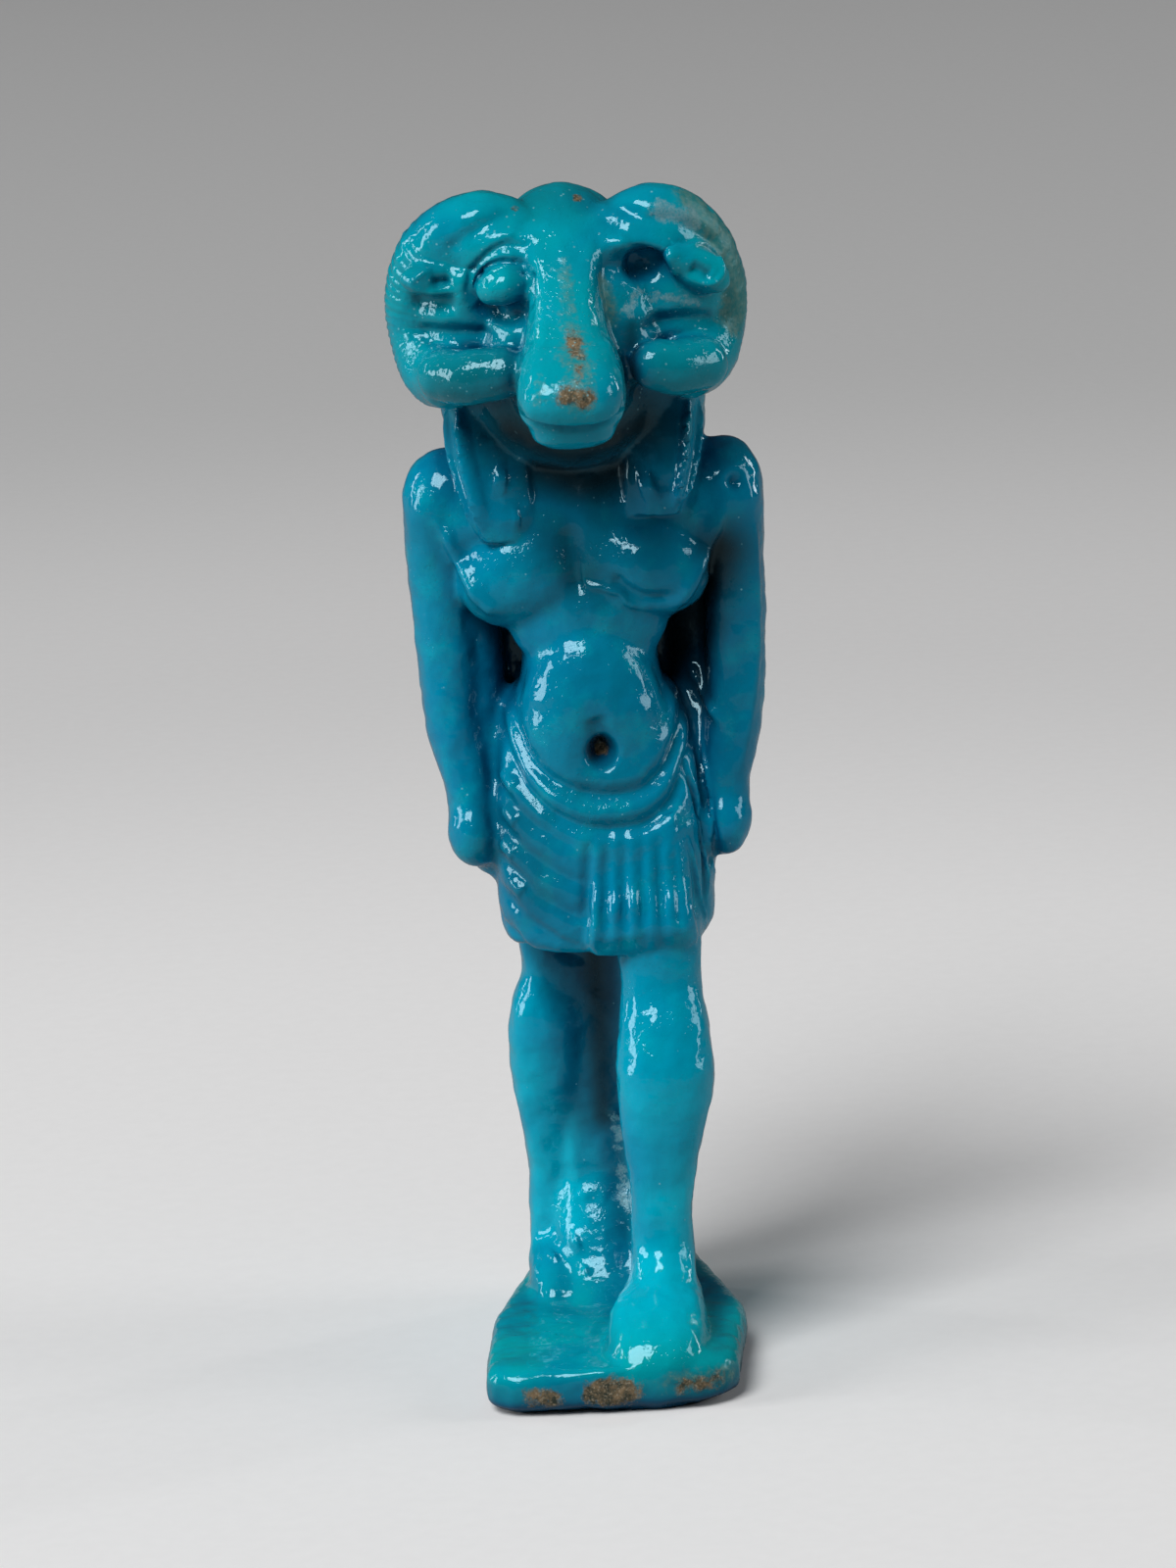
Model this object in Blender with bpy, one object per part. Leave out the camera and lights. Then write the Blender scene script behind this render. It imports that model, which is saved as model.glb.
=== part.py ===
"""A small moulded faience amulet: a striding ram-headed figure on a plinth, against a back pillar.

The figure and its plinth are one piece, pressed in one mould, so they are one object. The masses of the
body are built apart, fused into one skin, and the finer forms are then cut into that skin with strokes.
Everything of the figure is placed on a grid of 42 steps from its soles to the top of its horns. +X is the
right of a person who faces the figure, -Y is the way it faces, and the origin is under the plinth.
"""

import math

import bmesh
import bpy
import numpy as np
from mathutils import Euler, Matrix, Vector
from mathutils.bvhtree import BVHTree

# Driving dimensions, in metres
FIGURE_HEIGHT = 0.0422
PLINTH_THICKNESS = 0.0018
PLINTH_WIDTH = 0.0099
PLINTH_BACK_WIDTH = 0.0058
PLINTH_TOE_MARGIN = 0.0004
PLINTH_TAPER_START = 0.0074
PLINTH_CORNER_ROUND = 0.0012
PLINTH_UNDERCUT = 0.0007
PLINTH_UNDERCUT_HEIGHT = 0.0004
PILLAR_HEIGHT = 0.0336
PILLAR_WIDTH = 0.0046
PILLAR_DEPTH = 0.0026
CORD_HOLE_DIAMETER = 0.0012
CORD_HOLE_BELOW_TOP = 0.0021

# The figure's own grid, and how far it reaches forward and back on it
GRID_STEPS = 42
STEP = FIGURE_HEIGHT / GRID_STEPS
TOE_REACH = 7.6
BODY_BACK = 4.45

# The plinth runs from a margin before the toes to the back of the pillar
PLINTH_FRONT = -TOE_REACH * STEP - PLINTH_TOE_MARGIN
PLINTH_BACK = BODY_BACK * STEP + PILLAR_DEPTH

# Fineness of the clay and of the finished skin, in grid steps and in triangles
BODY_VOXEL = 0.22
SKIN_VOXEL = 0.17
SKIN_TRIANGLES = 9600

GLAZE_COLOUR = (0.0, 0.33, 0.42, 1.0)
GLAZE_ROUGHNESS = 0.16


def clear_scene():
    for obj in list(bpy.data.objects):
        bpy.data.objects.remove(obj)


def new_object(name, mesh):
    obj = bpy.data.objects.new(name, mesh)
    bpy.context.scene.collection.objects.link(obj)
    return obj


def smooth_path(points, samples=10):
    """A Catmull-Rom curve through points of any dimension, as an array of closely spaced rows."""
    knots = np.asarray(points, float)
    knots = np.vstack([2 * knots[0] - knots[1], knots, 2 * knots[-1] - knots[-2]])
    rows = []
    for a, b, c, d in zip(knots, knots[1:], knots[2:], knots[3:]):
        for t in np.arange(samples) / samples:
            even, odd = 2 * a - 5 * b + 4 * c - d, 3 * b - a - 3 * c + d
            rows.append(0.5 * (2 * b + (c - a) * t + even * t**2 + odd * t**3))
    rows.append(knots[-2])
    return np.array(rows)


def skin_rings(clay, rings):
    """Bridges closed rings of points into one closed skin, with a flat cap at each end."""
    loops = [[clay.verts.new(point) for point in ring] for ring in rings]
    count = len(loops[0])
    for low, high in zip(loops, loops[1:]):
        for i in range(count):
            j = (i + 1) % count
            clay.faces.new((low[i], low[j], high[j], high[i]))
    clay.faces.new(loops[0][::-1])
    clay.faces.new(loops[-1])


def loft(clay, sections, corners=2.4, sides=48):
    """Level rounded sections (z, centre x, centre y, half width, half depth), joined smoothly upwards."""
    angles = np.arange(sides) * 2 * math.pi / sides
    cos, sin = np.cos(angles), np.sin(angles)
    round_x = np.sign(cos) * np.abs(cos) ** (2 / corners)
    round_y = np.sign(sin) * np.abs(sin) ** (2 / corners)
    rings = []
    for z, x, y, half_x, half_y in smooth_path(sections, 6):
        rings.append([(x + half_x * u, y + half_y * v, z) for u, v in zip(round_x, round_y)])
    skin_rings(clay, rings)


def limb(clay, stations, deep=1.0, corners=2.0, sides=28):
    """A tapering limb through stations (x, y, z, radius), with round ends; deep stretches it along Y."""
    rows = smooth_path(stations, 8)
    centres, radii = rows[:, :3], rows[:, 3]
    tangents = np.gradient(centres, axis=0)
    tangents /= np.linalg.norm(tangents, axis=1)[:, None]
    aside = (0.0, 1.0, 0.0) if abs(tangents[0][1]) < 0.8 else (0.0, 0.0, 1.0)
    side = np.cross(tangents[0], aside)
    angles = np.arange(sides) * 2 * math.pi / sides
    cos, sin = np.cos(angles), np.sin(angles)
    across = np.sign(cos) * np.abs(cos) ** (2 / corners)
    along_depth = np.sign(sin) * np.abs(sin) ** (2 / corners)
    cap = [math.radians(a) for a in (15, 40, 65)]
    places = [(0, -math.cos(a), math.sin(a)) for a in cap]
    places += [(i, 0.0, 1.0) for i in range(len(rows))]
    places += [(len(rows) - 1, math.cos(a), math.sin(a)) for a in reversed(cap)]
    rings = []
    for i, along, share in places:
        side = side - tangents[i] * (side @ tangents[i])
        side /= np.linalg.norm(side)
        up = np.cross(tangents[i], side)
        middle = centres[i] + tangents[i] * radii[i] * along
        offsets = (np.outer(across, side) + np.outer(along_depth, up)) * radii[i] * share
        offsets[:, 1] *= deep
        rings.append(middle + offsets)
    skin_rings(clay, rings)


def lump(clay, centre, radii, turn=(0, 0, 0)):
    """An ellipsoid of clay; turn is in degrees about X, Y and Z."""
    place = Matrix.Translation(centre) @ Euler([math.radians(a) for a in turn]).to_matrix().to_4x4()
    bmesh.ops.create_icosphere(
        clay, subdivisions=4, radius=1.0, matrix=place @ Matrix.Diagonal((*radii, 1.0))
    )


def slab(clay, low, high, round_off=0.3):
    """A block between two corners, with rounded edges."""
    low, high = Vector(low), Vector(high)
    place = Matrix.Translation((low + high) / 2) @ Matrix.Diagonal((*(high - low), 1.0))
    made = bmesh.ops.create_cube(clay, size=1.0, matrix=place)
    edges = {edge for vert in made["verts"] for edge in vert.link_edges}
    bmesh.ops.bevel(clay, geom=list(edges), offset=round_off, segments=3, affect="EDGES", profile=0.5)


def plinth(clay):
    """In plan the plinth is a block to about its middle, then tapers back to the pillar.

    Its edges are worn, and it stands on a foot that is set in from its outline, more so on the right.
    """
    front, back = PLINTH_FRONT / STEP, PLINTH_BACK / STEP
    shoulder = front + PLINTH_TAPER_START / STEP
    half, half_back = PLINTH_WIDTH / STEP / 2, PLINTH_BACK_WIDTH / STEP / 2
    thick, corner = PLINTH_THICKNESS / STEP, PLINTH_CORNER_ROUND / STEP
    left, right = -half - 0.06 * corner, half - 0.14 * corner
    plan = [
        (left, front + corner),
        (left + 0.25 * corner, front + 0.45 * corner),
        (left + 0.9 * corner, front + 0.1 * corner),
        (-0.1 * half, front),
        (right - 1.6 * corner, front + 0.2 * corner),
        (right - 0.8 * corner, front + 0.6 * corner),
        (right - 0.45 * corner, front + 1.2 * corner),
        (right, shoulder),
        (half_back, back),
        (-half_back, back),
        (left + 0.25 * corner, shoulder),
    ]
    inset, rise = PLINTH_UNDERCUT / STEP, PLINTH_UNDERCUT_HEIGHT / STEP
    middle, length = (front + back) / 2, (back - front) / 2
    narrow, short = 1 - inset / half, 1 - inset / length
    foot = [(x * narrow - 0.3 * inset, middle + (y - middle) * short) for x, y in plan]
    levels = ((foot, -thick), (plan, rise - thick), (plan, 0.0))
    loops = [[clay.verts.new((x, y, z)) for x, y in outline] for outline, z in levels]
    clay.faces.new(loops[0][::-1])
    top = clay.faces.new(loops[2])
    count = len(plan)
    for low, high in zip(loops, loops[1:]):
        for i in range(count):
            j = (i + 1) % count
            clay.faces.new((low[i], low[j], high[j], high[i]))
    bmesh.ops.bevel(clay, geom=list(top.edges), offset=0.3 * thick, segments=3, affect="EDGES", profile=0.5)


def back_pillar(clay):
    """The pillar stands flush with the back of the plinth, and the figure's back runs into it."""
    half, back, top = PILLAR_WIDTH / STEP / 2, PLINTH_BACK / STEP, PILLAR_HEIGHT / STEP
    slab(clay, (-half, BODY_BACK, -0.5 * PLINTH_THICKNESS / STEP), (half, back, top), 0.3)
    slab(clay, (-0.7 * half, 2.0, 0.0), (0.7 * half, back - 0.5, top - 0.5), 0.3)


def trunk(clay):
    loft(clay, [
        (19.0, 0.2, 1.6, 3.3, 2.8),
        (21.3, 0.1, 1.5, 2.95, 2.8),
        (22.8, 0.1, 1.5, 2.75, 2.6),
        (24.4, 0.13, 1.6, 2.5, 2.25),
        (25.8, 0.15, 1.75, 2.8, 2.15),
        (27.1, 0.1, 1.9, 3.9, 2.3),
        (28.3, 0.1, 1.9, 4.5, 2.35),
        (29.8, 0.1, 2.1, 5.2, 2.2),
        (31.2, 0.0, 2.3, 5.0, 1.9),
        (32.6, 0.0, 2.4, 3.6, 1.8),
        (33.6, 0.0, 2.4, 2.4, 1.8),
    ], corners=2.6)
    lump(clay, (0.1, 0.2, 21.5), (2.75, 1.9, 4.5))
    lump(clay, (0.1, 0.75, 25.0), (2.0, 1.35, 4.0))
    lump(clay, (-2.15, 0.6, 27.8), (2.45, 1.4, 2.2), (0, -18, 0))
    lump(clay, (2.5, 0.6, 28.0), (2.2, 1.4, 2.1), (0, 18, 0))
    for side in (-1, 1):
        lump(clay, (side * 3.2, 1.5, 29.9), (2.9, 1.5, 1.9), (0, side * 35, 0))


def arms(clay):
    for side, shoulder, elbow, fist, valley in ((-1, 5.28, 5.0, 4.4, 2.7), (1, 5.53, 5.35, 4.72, 3.7)):
        lump(clay, (side * (shoulder - 0.4), 2.3, 30.3), (1.6, 1.9, 1.8))
        limb(clay, [
            (side * (shoulder - 0.1), 2.3, 30.0, 1.3),
            (side * shoulder, 2.3, 27.6, 1.15),
            (side * (elbow + 0.12), 2.2, 24.8, 1.12),
            (side * elbow, 1.9, 22.0, 1.05),
            (side * (fist + 0.1), 1.4, 19.4, 0.92),
            (side * (fist + 0.05), 1.1, 17.7, 0.92),
        ], deep=1.45, corners=2.4)
        lump(clay, (side * (fist + 0.05), 0.9, 18.0), (1.0, 1.35, 1.35), (0, side * 6, 0))
        limb(clay, [
            (side * 4.35, valley, 30.0, 1.35),
            (side * 4.35, valley, 26.6, 1.35),
            (side * 4.25, valley - 0.3, 22.8, 1.25),
            (side * 3.8, 1.9, 19.6, 1.05),
            (side * 3.7, 1.7, 17.0, 0.95),
        ])


def back_of_body(clay):
    """A plain plate behind the arms and the waist closes the gaps between them, as the mould left it."""
    loft(clay, [
        (16.8, 0.2, 3.4, 3.0, 0.9),
        (18.6, 0.2, 3.7, 4.0, 0.9),
        (22.0, 0.15, 4.0, 4.6, 0.85),
        (27.0, 0.1, 4.05, 4.9, 0.85),
        (30.5, 0.1, 3.9, 4.9, 0.9),
        (32.0, 0.0, 3.5, 4.0, 0.9),
    ], corners=3.0)


def kilt_body(clay):
    loft(clay, [
        (13.7, 0.3, 1.5, 3.4, 2.8),
        (14.2, 0.33, 1.45, 3.85, 3.2),
        (15.4, 0.3, 1.4, 4.0, 3.3),
        (17.0, 0.26, 1.4, 4.05, 3.3),
        (19.2, 0.22, 1.4, 3.85, 3.2),
        (21.2, 0.15, 1.5, 3.55, 2.95),
        (22.6, 0.1, 1.7, 3.25, 2.5),
        (23.4, 0.1, 1.9, 2.8, 2.1),
    ])


def apron(clay):
    """The front flap of the kilt hangs from the belt and widens a little downwards."""
    rings = []
    for z, left, right, front in smooth_path([
        (13.75, -0.45, 3.3, -2.0),
        (14.2, -0.6, 3.5, -2.3),
        (16.2, -0.45, 3.4, -2.25),
        (17.6, -0.25, 3.3, -2.02),
        (19.0, -0.1, 3.2, -1.6),
    ], 5):
        middle, half = (left + right) / 2, (right - left) / 2
        box = [(-1, 0.6), (-0.85, 0.12), (0, 0), (0.8, 0.15), (1, 0.7), (1, 2.5), (-1, 2.5)]
        rings.append([(middle + half * u, front + v, z) for u, v in box])
    skin_rings(clay, rings)


def legs(clay):
    limb(clay, [
        (-1.85, 3.3, 14.6, 1.35),
        (-1.8, 3.3, 12.0, 1.2),
        (-2.1, 3.2, 10.3, 1.45),
        (-2.15, 3.3, 8.4, 1.47),
        (-2.05, 3.5, 6.4, 1.3),
        (-1.95, 3.7, 4.2, 1.17),
        (-2.0, 3.7, 1.6, 1.2),
    ], deep=1.1, corners=2.5)
    limb(clay, [
        (2.1, -0.5, 14.8, 1.6),
        (2.05, -0.8, 12.4, 1.48),
        (2.1, -1.2, 10.6, 1.65),
        (2.08, -1.5, 9.0, 1.8),
        (1.85, -1.8, 6.8, 1.45),
        (1.68, -2.1, 4.8, 1.1),
        (1.64, -2.4, 2.6, 1.12),
        (1.62, -2.9, 0.2, 1.35),
    ], corners=2.3)
    slab(clay, (-1.9, 3.8, -0.4), (2.6, 6.2, 14.6), 0.4)
    slab(clay, (0.8, -1.0, -0.4), (2.5, 4.2, 14.6), 0.5)
    back = BODY_BACK + 1.0
    loft(clay, [
        (z, -0.1, (back + front) / 2, 2.2, (back - front) / 2)
        for z, front in (
            (-0.5, -1.8), (0.3, -0.5), (1.1, 0.5), (2.4, 1.0), (3.3, 1.3), (4.2, 2.0),
            (5.4, 2.7), (7.0, 3.2), (9.0, 3.7), (11.0, 4.1),
        )
    ], corners=2.6)


def feet(clay):
    limb(clay, [
        (-2.05, 4.2, 0.35, 1.1),
        (-2.1, 2.8, 0.75, 1.2),
        (-2.1, 1.6, 0.2, 1.15),
        (-2.1, 0.9, -0.1, 0.95),
    ], corners=2.4)
    limb(clay, [
        (1.8, -2.1, 3.4, 1.1),
        (1.7, -3.3, 1.6, 1.2),
        (1.6, -5.0, 0.3, 1.25),
    ])
    limb(clay, [
        (1.65, -1.6, 0.3, 1.4),
        (1.6, -3.2, 0.4, 1.6),
        (1.4, -4.7, 0.05, 1.85),
        (1.3, -6.1, -0.55, 1.8),
    ], corners=3.0)


def skull(clay):
    lump(clay, (0.0, 1.2, 37.6), (4.0, 3.6, 3.6))
    lump(clay, (-0.15, 0.7, 39.4), (2.4, 2.4, 2.5))
    lump(clay, (-0.1, 0.2, 39.7), (4.0, 2.25, 1.6))
    for side in (-1, 1):
        lump(clay, (side * 1.7, -0.8, 36.6), (1.5, 1.4, 2.0))
    lump(clay, (-0.25, 1.0, 34.4), (3.5, 2.6, 3.0))


def nose(clay):
    """A broad flat-topped bridge comes down from the crown and ends in a boxy muzzle over a narrower lip."""
    rings = []
    for z, x, front, top, base in smooth_path([
        (41.2, -0.15, -0.65, 0.8, 1.3),
        (40.3, -0.12, -1.95, 1.05, 1.8),
        (39.0, -0.15, -3.15, 0.85, 1.4),
        (38.0, -0.18, -4.15, 0.8, 1.35),
        (37.0, -0.15, -5.2, 0.95, 1.5),
        (36.2, -0.12, -6.0, 1.25, 1.75),
        (35.4, -0.1, -6.3, 1.4, 1.8),
    ], 6):
        half = [(-base, 1.7 - front), (-base, 1.6), (-0.5 * (top + base), 0.5), (-top, 0.12)]
        other = [(-u, v) for u, v in reversed(half)]
        rings.append([(x + u, front + v, z) for u, v in [*half, (0.0, 0.0), *other]])
    skin_rings(clay, rings)
    loft(clay, [
        (z, -0.1, (front - 1.5) / 2, half, (-1.5 - front) / 2)
        for z, half, front in (
            (33.4, 1.1, -5.5), (33.7, 1.45, -6.1), (34.2, 1.62, -6.4), (34.6, 1.82, -6.9),
            (35.2, 1.92, -7.15), (35.8, 1.88, -7.05), (36.4, 1.7, -6.5), (37.0, 1.45, -5.4),
        )
    ], corners=3.4)
    limb(clay, [
        (-0.1, -4.4, 34.9, 1.5),
        (-0.1, -2.8, 34.9, 1.8),
        (-0.1, -0.8, 35.0, 2.3),
    ])
    lump(clay, (-0.1, -2.4, 34.3), (1.35, 2.8, 1.75))


def wig(clay):
    loft(clay, [
        (30.6, 0.0, 3.0, 4.2, 1.9),
        (32.5, 0.0, 2.4, 4.7, 2.6),
        (34.5, 0.0, 2.1, 4.7, 3.0),
        (37.0, 0.0, 1.9, 4.5, 3.1),
        (39.0, 0.0, 1.6, 3.8, 2.8),
        (40.2, 0.0, 1.3, 2.4, 2.0),
        (40.8, 0.0, 1.2, 1.2, 1.0),
    ])
    for side, foot in ((-1, 29.4), (1, 29.8)):
        rings = []
        for z, middle, y, half in smooth_path([
            (foot, 2.45, -0.5, 1.1),
            (foot + 1.5, 2.7, -0.5, 1.25),
            (foot + 3.5, 2.95, -0.25, 1.3),
            (foot + 6.0, 3.3, 0.4, 1.4),
        ], 5):
            box = [(-side, 0.6), (-0.75 * side, -0.2), (0.0, -0.75), (0.8 * side, -0.9), (side, -0.55)]
            box += [(1.3 * side, 1.2), (1.35 * side, 3.0), (-0.9 * side, 3.0)]
            box = box if side > 0 else box[::-1]
            rings.append([(side * middle + half * u, y + 0.75 * v + 0.75, z) for u, v in box])
        skin_rings(clay, rings)


def horn_stations(side):
    out = 0.15 if side < 0 else -0.12
    return [
        (side * 1.7, -0.2, 40.1, 1.3),
        (side * 3.2, -0.1, 40.45, 1.42),
        (side * (4.45 + out), 0.5, 39.6, 1.45),
        (side * (5.0 + out), 1.1, 38.1, 1.5),
        (side * (4.95 + out), 1.2, 36.6, 1.5),
        (side * (4.6 + out), 0.3, 35.5, 1.4),
        (side * (4.3 + out), -0.8, 35.3, 1.2),
    ]


def horns(clay):
    for side in (-1, 1):
        limb(clay, horn_stations(side))
        inner = 2.5 if side < 0 else 2.95
        limb(clay, [
            (side * 4.6, -1.3, 35.45, 0.98),
            (side * 3.7, -2.1, 35.5, 1.0),
            (side * inner, -2.5, 35.7, 0.95),
        ])
        lump(clay, (side * 3.3, 0.7, 37.9), (2.5, 2.0, 2.9))


def eyes_and_ears(clay):
    lump(clay, (-2.3, -1.7, 38.65), (1.05, 0.85, 0.8), (0, -8, 0))
    lump(clay, (-4.75, -0.85, 38.85), (1.35, 0.6, 0.62), (0, 5, 0))
    lump(clay, (4.55, -1.0, 38.85), (1.35, 0.7, 0.78), (0, 32, 0))


class Carver:
    """Collects strokes over a skin, each a path of front-view points pressed into it or raised on it."""

    def __init__(self, mesh):
        self.mesh = mesh
        clay = bmesh.new()
        clay.from_mesh(mesh)
        self.tree = BVHTree.FromBMesh(clay)
        clay.free()
        count = len(mesh.vertices)
        self.points = np.empty(count * 3, np.float32)
        mesh.vertices.foreach_get("co", self.points)
        self.points = self.points.reshape(-1, 3)
        self.normals = np.empty(count * 3, np.float32)
        mesh.vertices.foreach_get("normal", self.normals)
        self.normals = self.normals.reshape(-1, 3)
        self.lift = np.zeros(count, np.float32)

    def on_skin(self, x, z):
        hit = self.tree.ray_cast(Vector((x, -20.0, z)), Vector((0.0, 1.0, 0.0)))[0]
        return hit if hit else Vector((x, 0.0, z))

    def nearness(self, path, width):
        """The vertices near a path, their squared distance to it, and how far along it each one lies."""
        flat = smooth_path(path, 6) if len(path) > 1 else np.array(path, float)
        line = np.array([self.on_skin(x, z) for x, z in flat], np.float32)
        low, high = line.min(axis=0) - 2.5 * width, line.max(axis=0) + 2.5 * width
        near = np.flatnonzero(((self.points > low) & (self.points < high)).all(axis=1))
        points = self.points[near]
        best = np.full(len(near), np.inf, np.float32)
        where = np.zeros(len(near), np.float32)
        last = max(len(line) - 1, 1)
        for i in range(last):
            a = line[i]
            b = line[min(i + 1, len(line) - 1)]
            run = b - a
            t = np.clip((points - a) @ run / max(float(run @ run), 1e-9), 0, 1)
            gap = ((points - a - t[:, None] * run) ** 2).sum(axis=1)
            closer = gap < best
            best[closer] = gap[closer]
            where[closer] = (i + t[closer]) / last
        return near, best, where

    def stroke(self, path, width, height, fade=0.15):
        """A ridge along the path, or a groove when height is negative, that thins out over its ends."""
        near, best, where = self.nearness(path, width)
        ends = np.minimum(where, 1 - where) / fade if fade and len(path) > 1 else np.ones(len(near))
        self.lift[near] += height * np.exp(-best / width**2) * np.clip(0.25 + 0.75 * ends, 0, 1)

    def pit(self, x, z, width, depth):
        """A hole with steep sides and a flat bottom."""
        near, best, _ = self.nearness([(x, z)], width)
        self.lift[near] -= depth * np.exp(-((best / width**2) ** 2))

    def apply(self):
        moved = self.points + self.normals * self.lift[:, None]
        self.mesh.vertices.foreach_set("co", moved.astype(np.float32).ravel())
        self.mesh.update()


def carve_face(carver):
    """The viewer's left eye stands under two ridges; the right one is sunk in its socket."""
    carver.stroke([
        (-1.4, 40.45), (-2.2, 40.4), (-3.0, 40.0), (-3.6, 39.3), (-3.85, 38.5), (-3.6, 37.7),
    ], 0.34, 0.24)
    carver.stroke([(-1.5, 39.72), (-2.25, 39.8), (-2.85, 39.5), (-3.28, 39.0), (-3.4, 38.35)], 0.24, 0.22)
    carver.stroke([(-1.5, 40.08), (-2.25, 40.1), (-2.95, 39.75), (-3.45, 39.15), (-3.62, 38.4)], 0.16, -0.07)
    carver.stroke([(-3.2, 38.2), (-2.75, 37.7), (-2.1, 37.55), (-1.55, 37.9)], 0.38, -0.32)
    carver.stroke([(-1.35, 38.2), (-1.3, 39.3)], 0.2, -0.2)
    carver.stroke([(1.4, 40.05), (2.45, 39.98), (3.4, 39.8), (3.95, 39.2)], 0.32, 0.35)
    carver.stroke([(2.0, 39.3), (2.6, 39.25), (3.3, 38.95)], 0.58, -0.75, 0.4)
    carver.stroke([(3.75, 39.5), (3.8, 38.7)], 0.2, 0.2)
    carver.stroke([(-4.9, 38.85), (-4.15, 38.95)], 0.27, -0.4)
    carver.stroke([(4.3, 39.05), (5.1, 38.6)], 0.27, -0.4)
    carver.stroke([(-5.7, 38.0), (-4.8, 38.05), (-4.0, 37.9)], 0.28, -0.16)
    carver.stroke([(-5.5, 36.95), (-4.3, 36.95), (-2.6, 36.9)], 0.3, -0.2)
    carver.stroke([(2.4, 36.95), (3.8, 37.05), (5.4, 36.9)], 0.3, -0.2)
    carver.stroke([(-1.75, 41.3), (-2.7, 40.95), (-3.7, 40.45), (-4.4, 39.8)], 0.32, -0.16)
    carver.stroke([(1.45, 41.5), (2.6, 40.95), (3.9, 40.65), (4.9, 40.0), (5.5, 39.1)], 0.3, -0.2)
    carver.stroke([(-1.85, 34.6), (-1.2, 34.42), (-0.2, 34.3), (0.8, 34.35), (1.65, 34.6)], 0.18, -0.3)


def carve_body(carver):
    carver.stroke([
        (-2.95, 23.2), (-2.65, 21.7), (-1.75, 20.5), (0.0, 19.8), (1.9, 19.95), (3.1, 21.2), (3.4, 22.4),
    ], 0.32, -0.32)
    carver.stroke([
        (-3.35, 22.3), (-2.75, 20.4), (-1.35, 19.05), (0.2, 18.55), (1.9, 18.7), (3.0, 19.6), (3.7, 21.3),
    ], 0.3, -0.28)
    carver.pit(0.38, 21.3, 0.52, 0.95)
    carver.stroke([(0.38, 21.35)], 0.8, -0.3)
    carver.stroke([(0.36, 21.5), (0.3, 22.0), (0.15, 22.7)], 0.4, -0.3)
    carver.stroke([(-0.5, 29.6), (-0.3, 28.3), (-0.1, 27.0)], 0.4, -0.3)
    carver.stroke([(-5.1, 29.7), (-4.4, 28.3), (-3.8, 27.1), (-3.0, 26.4)], 0.3, 0.28)
    carver.stroke([(5.3, 30.0), (4.5, 28.4), (3.85, 27.2), (3.2, 26.3)], 0.3, 0.28)
    carver.stroke([(1.0, 27.8), (1.5, 27.2), (2.3, 26.8), (3.3, 26.8)], 0.28, -0.25)
    carver.stroke([(-3.0, 26.6), (-2.0, 26.25), (-0.7, 26.4)], 0.45, -0.14)
    carver.stroke([(5.65, 30.7)], 0.28, -0.35)
    carver.stroke([(6.2, 30.0), (6.3, 27.6), (6.2, 25.0), (5.95, 22.6), (5.4, 20.0)], 0.22, 0.12)
    for outer in (-1, 1):
        carver.stroke([(outer * 4.1, 33.6), (outer * 3.85, 31.8), (outer * 3.45, 29.9)], 0.2, 0.16)
    for i in range(5):
        top = 20.2 - 1.3 * i
        pleat = [(-3.75, top), (-2.7, top - 1.15), (-1.5, top - 1.95), (-0.55, top - 2.4)]
        carver.stroke(pleat, 0.3, -0.15)
    for i in range(6):
        share = i / 5
        pleat = [(-0.2 + 3.1 * share, 18.3), (-0.45 + 3.35 * share, 16.3), (-0.6 + 3.6 * share, 14.2)]
        carver.stroke(pleat, 0.22, -0.17, 0.25)
    for x in (3.45, 3.85):
        carver.stroke([(x, 20.6), (x + 0.45, 17.8), (x + 0.5, 14.6)], 0.18, -0.2)


def fuse(clay, voxel, smoothing):
    """One skin around all the clay, with the joins between the masses filled by smoothing."""
    mesh = bpy.data.meshes.new("clay")
    clay.to_mesh(mesh)
    clay.free()
    obj = new_object("clay", mesh)
    remesh = obj.modifiers.new("Fuse", "REMESH")
    remesh.mode = "VOXEL"
    remesh.voxel_size = voxel
    smooth = obj.modifiers.new("Fill joins", "SMOOTH")
    smooth.factor = 0.5
    smooth.iterations = smoothing
    return applied(obj)


def applied(obj):
    """The evaluated mesh of an object that is then removed."""
    graph = bpy.context.evaluated_depsgraph_get()
    mesh = bpy.data.meshes.new_from_object(obj.evaluated_get(graph))
    bpy.data.objects.remove(obj)
    return mesh


def figure_mesh():
    clay = bmesh.new()
    for build in (plinth, back_pillar, trunk, arms, back_of_body, kilt_body, legs, feet):
        build(clay)
    body = fuse(clay, BODY_VOXEL, 7)
    clay = bmesh.new()
    clay.from_mesh(body)
    for build in (apron, wig, skull, nose, horns, eyes_and_ears):
        build(clay)
    skin = fuse(clay, SKIN_VOXEL, 3)
    carver = Carver(skin)
    carve_face(carver)
    carve_body(carver)
    carver.apply()
    return skin


def flat_underside(mesh):
    """Cuts the skin level with the underside of the plinth, so that the amulet stands on one flat face."""
    clay = bmesh.new()
    clay.from_mesh(mesh)
    level = -PLINTH_THICKNESS / STEP + 0.03
    cut = bmesh.ops.bisect_plane(
        clay,
        geom=clay.verts[:] + clay.edges[:] + clay.faces[:],
        plane_co=(0, 0, level),
        plane_no=(0, 0, 1),
        clear_inner=True,
    )
    rim = [item for item in cut["geom_cut"] if isinstance(item, bmesh.types.BMEdge)]
    bmesh.ops.contextual_create(clay, geom=rim)
    bmesh.ops.triangulate(clay, faces=clay.faces[:])
    clay.to_mesh(mesh)
    clay.free()


def level_underside(mesh):
    for vert in mesh.vertices:
        if vert.co.z < -PLINTH_THICKNESS / STEP + 0.06:
            vert.co.z = -PLINTH_THICKNESS / STEP


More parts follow.
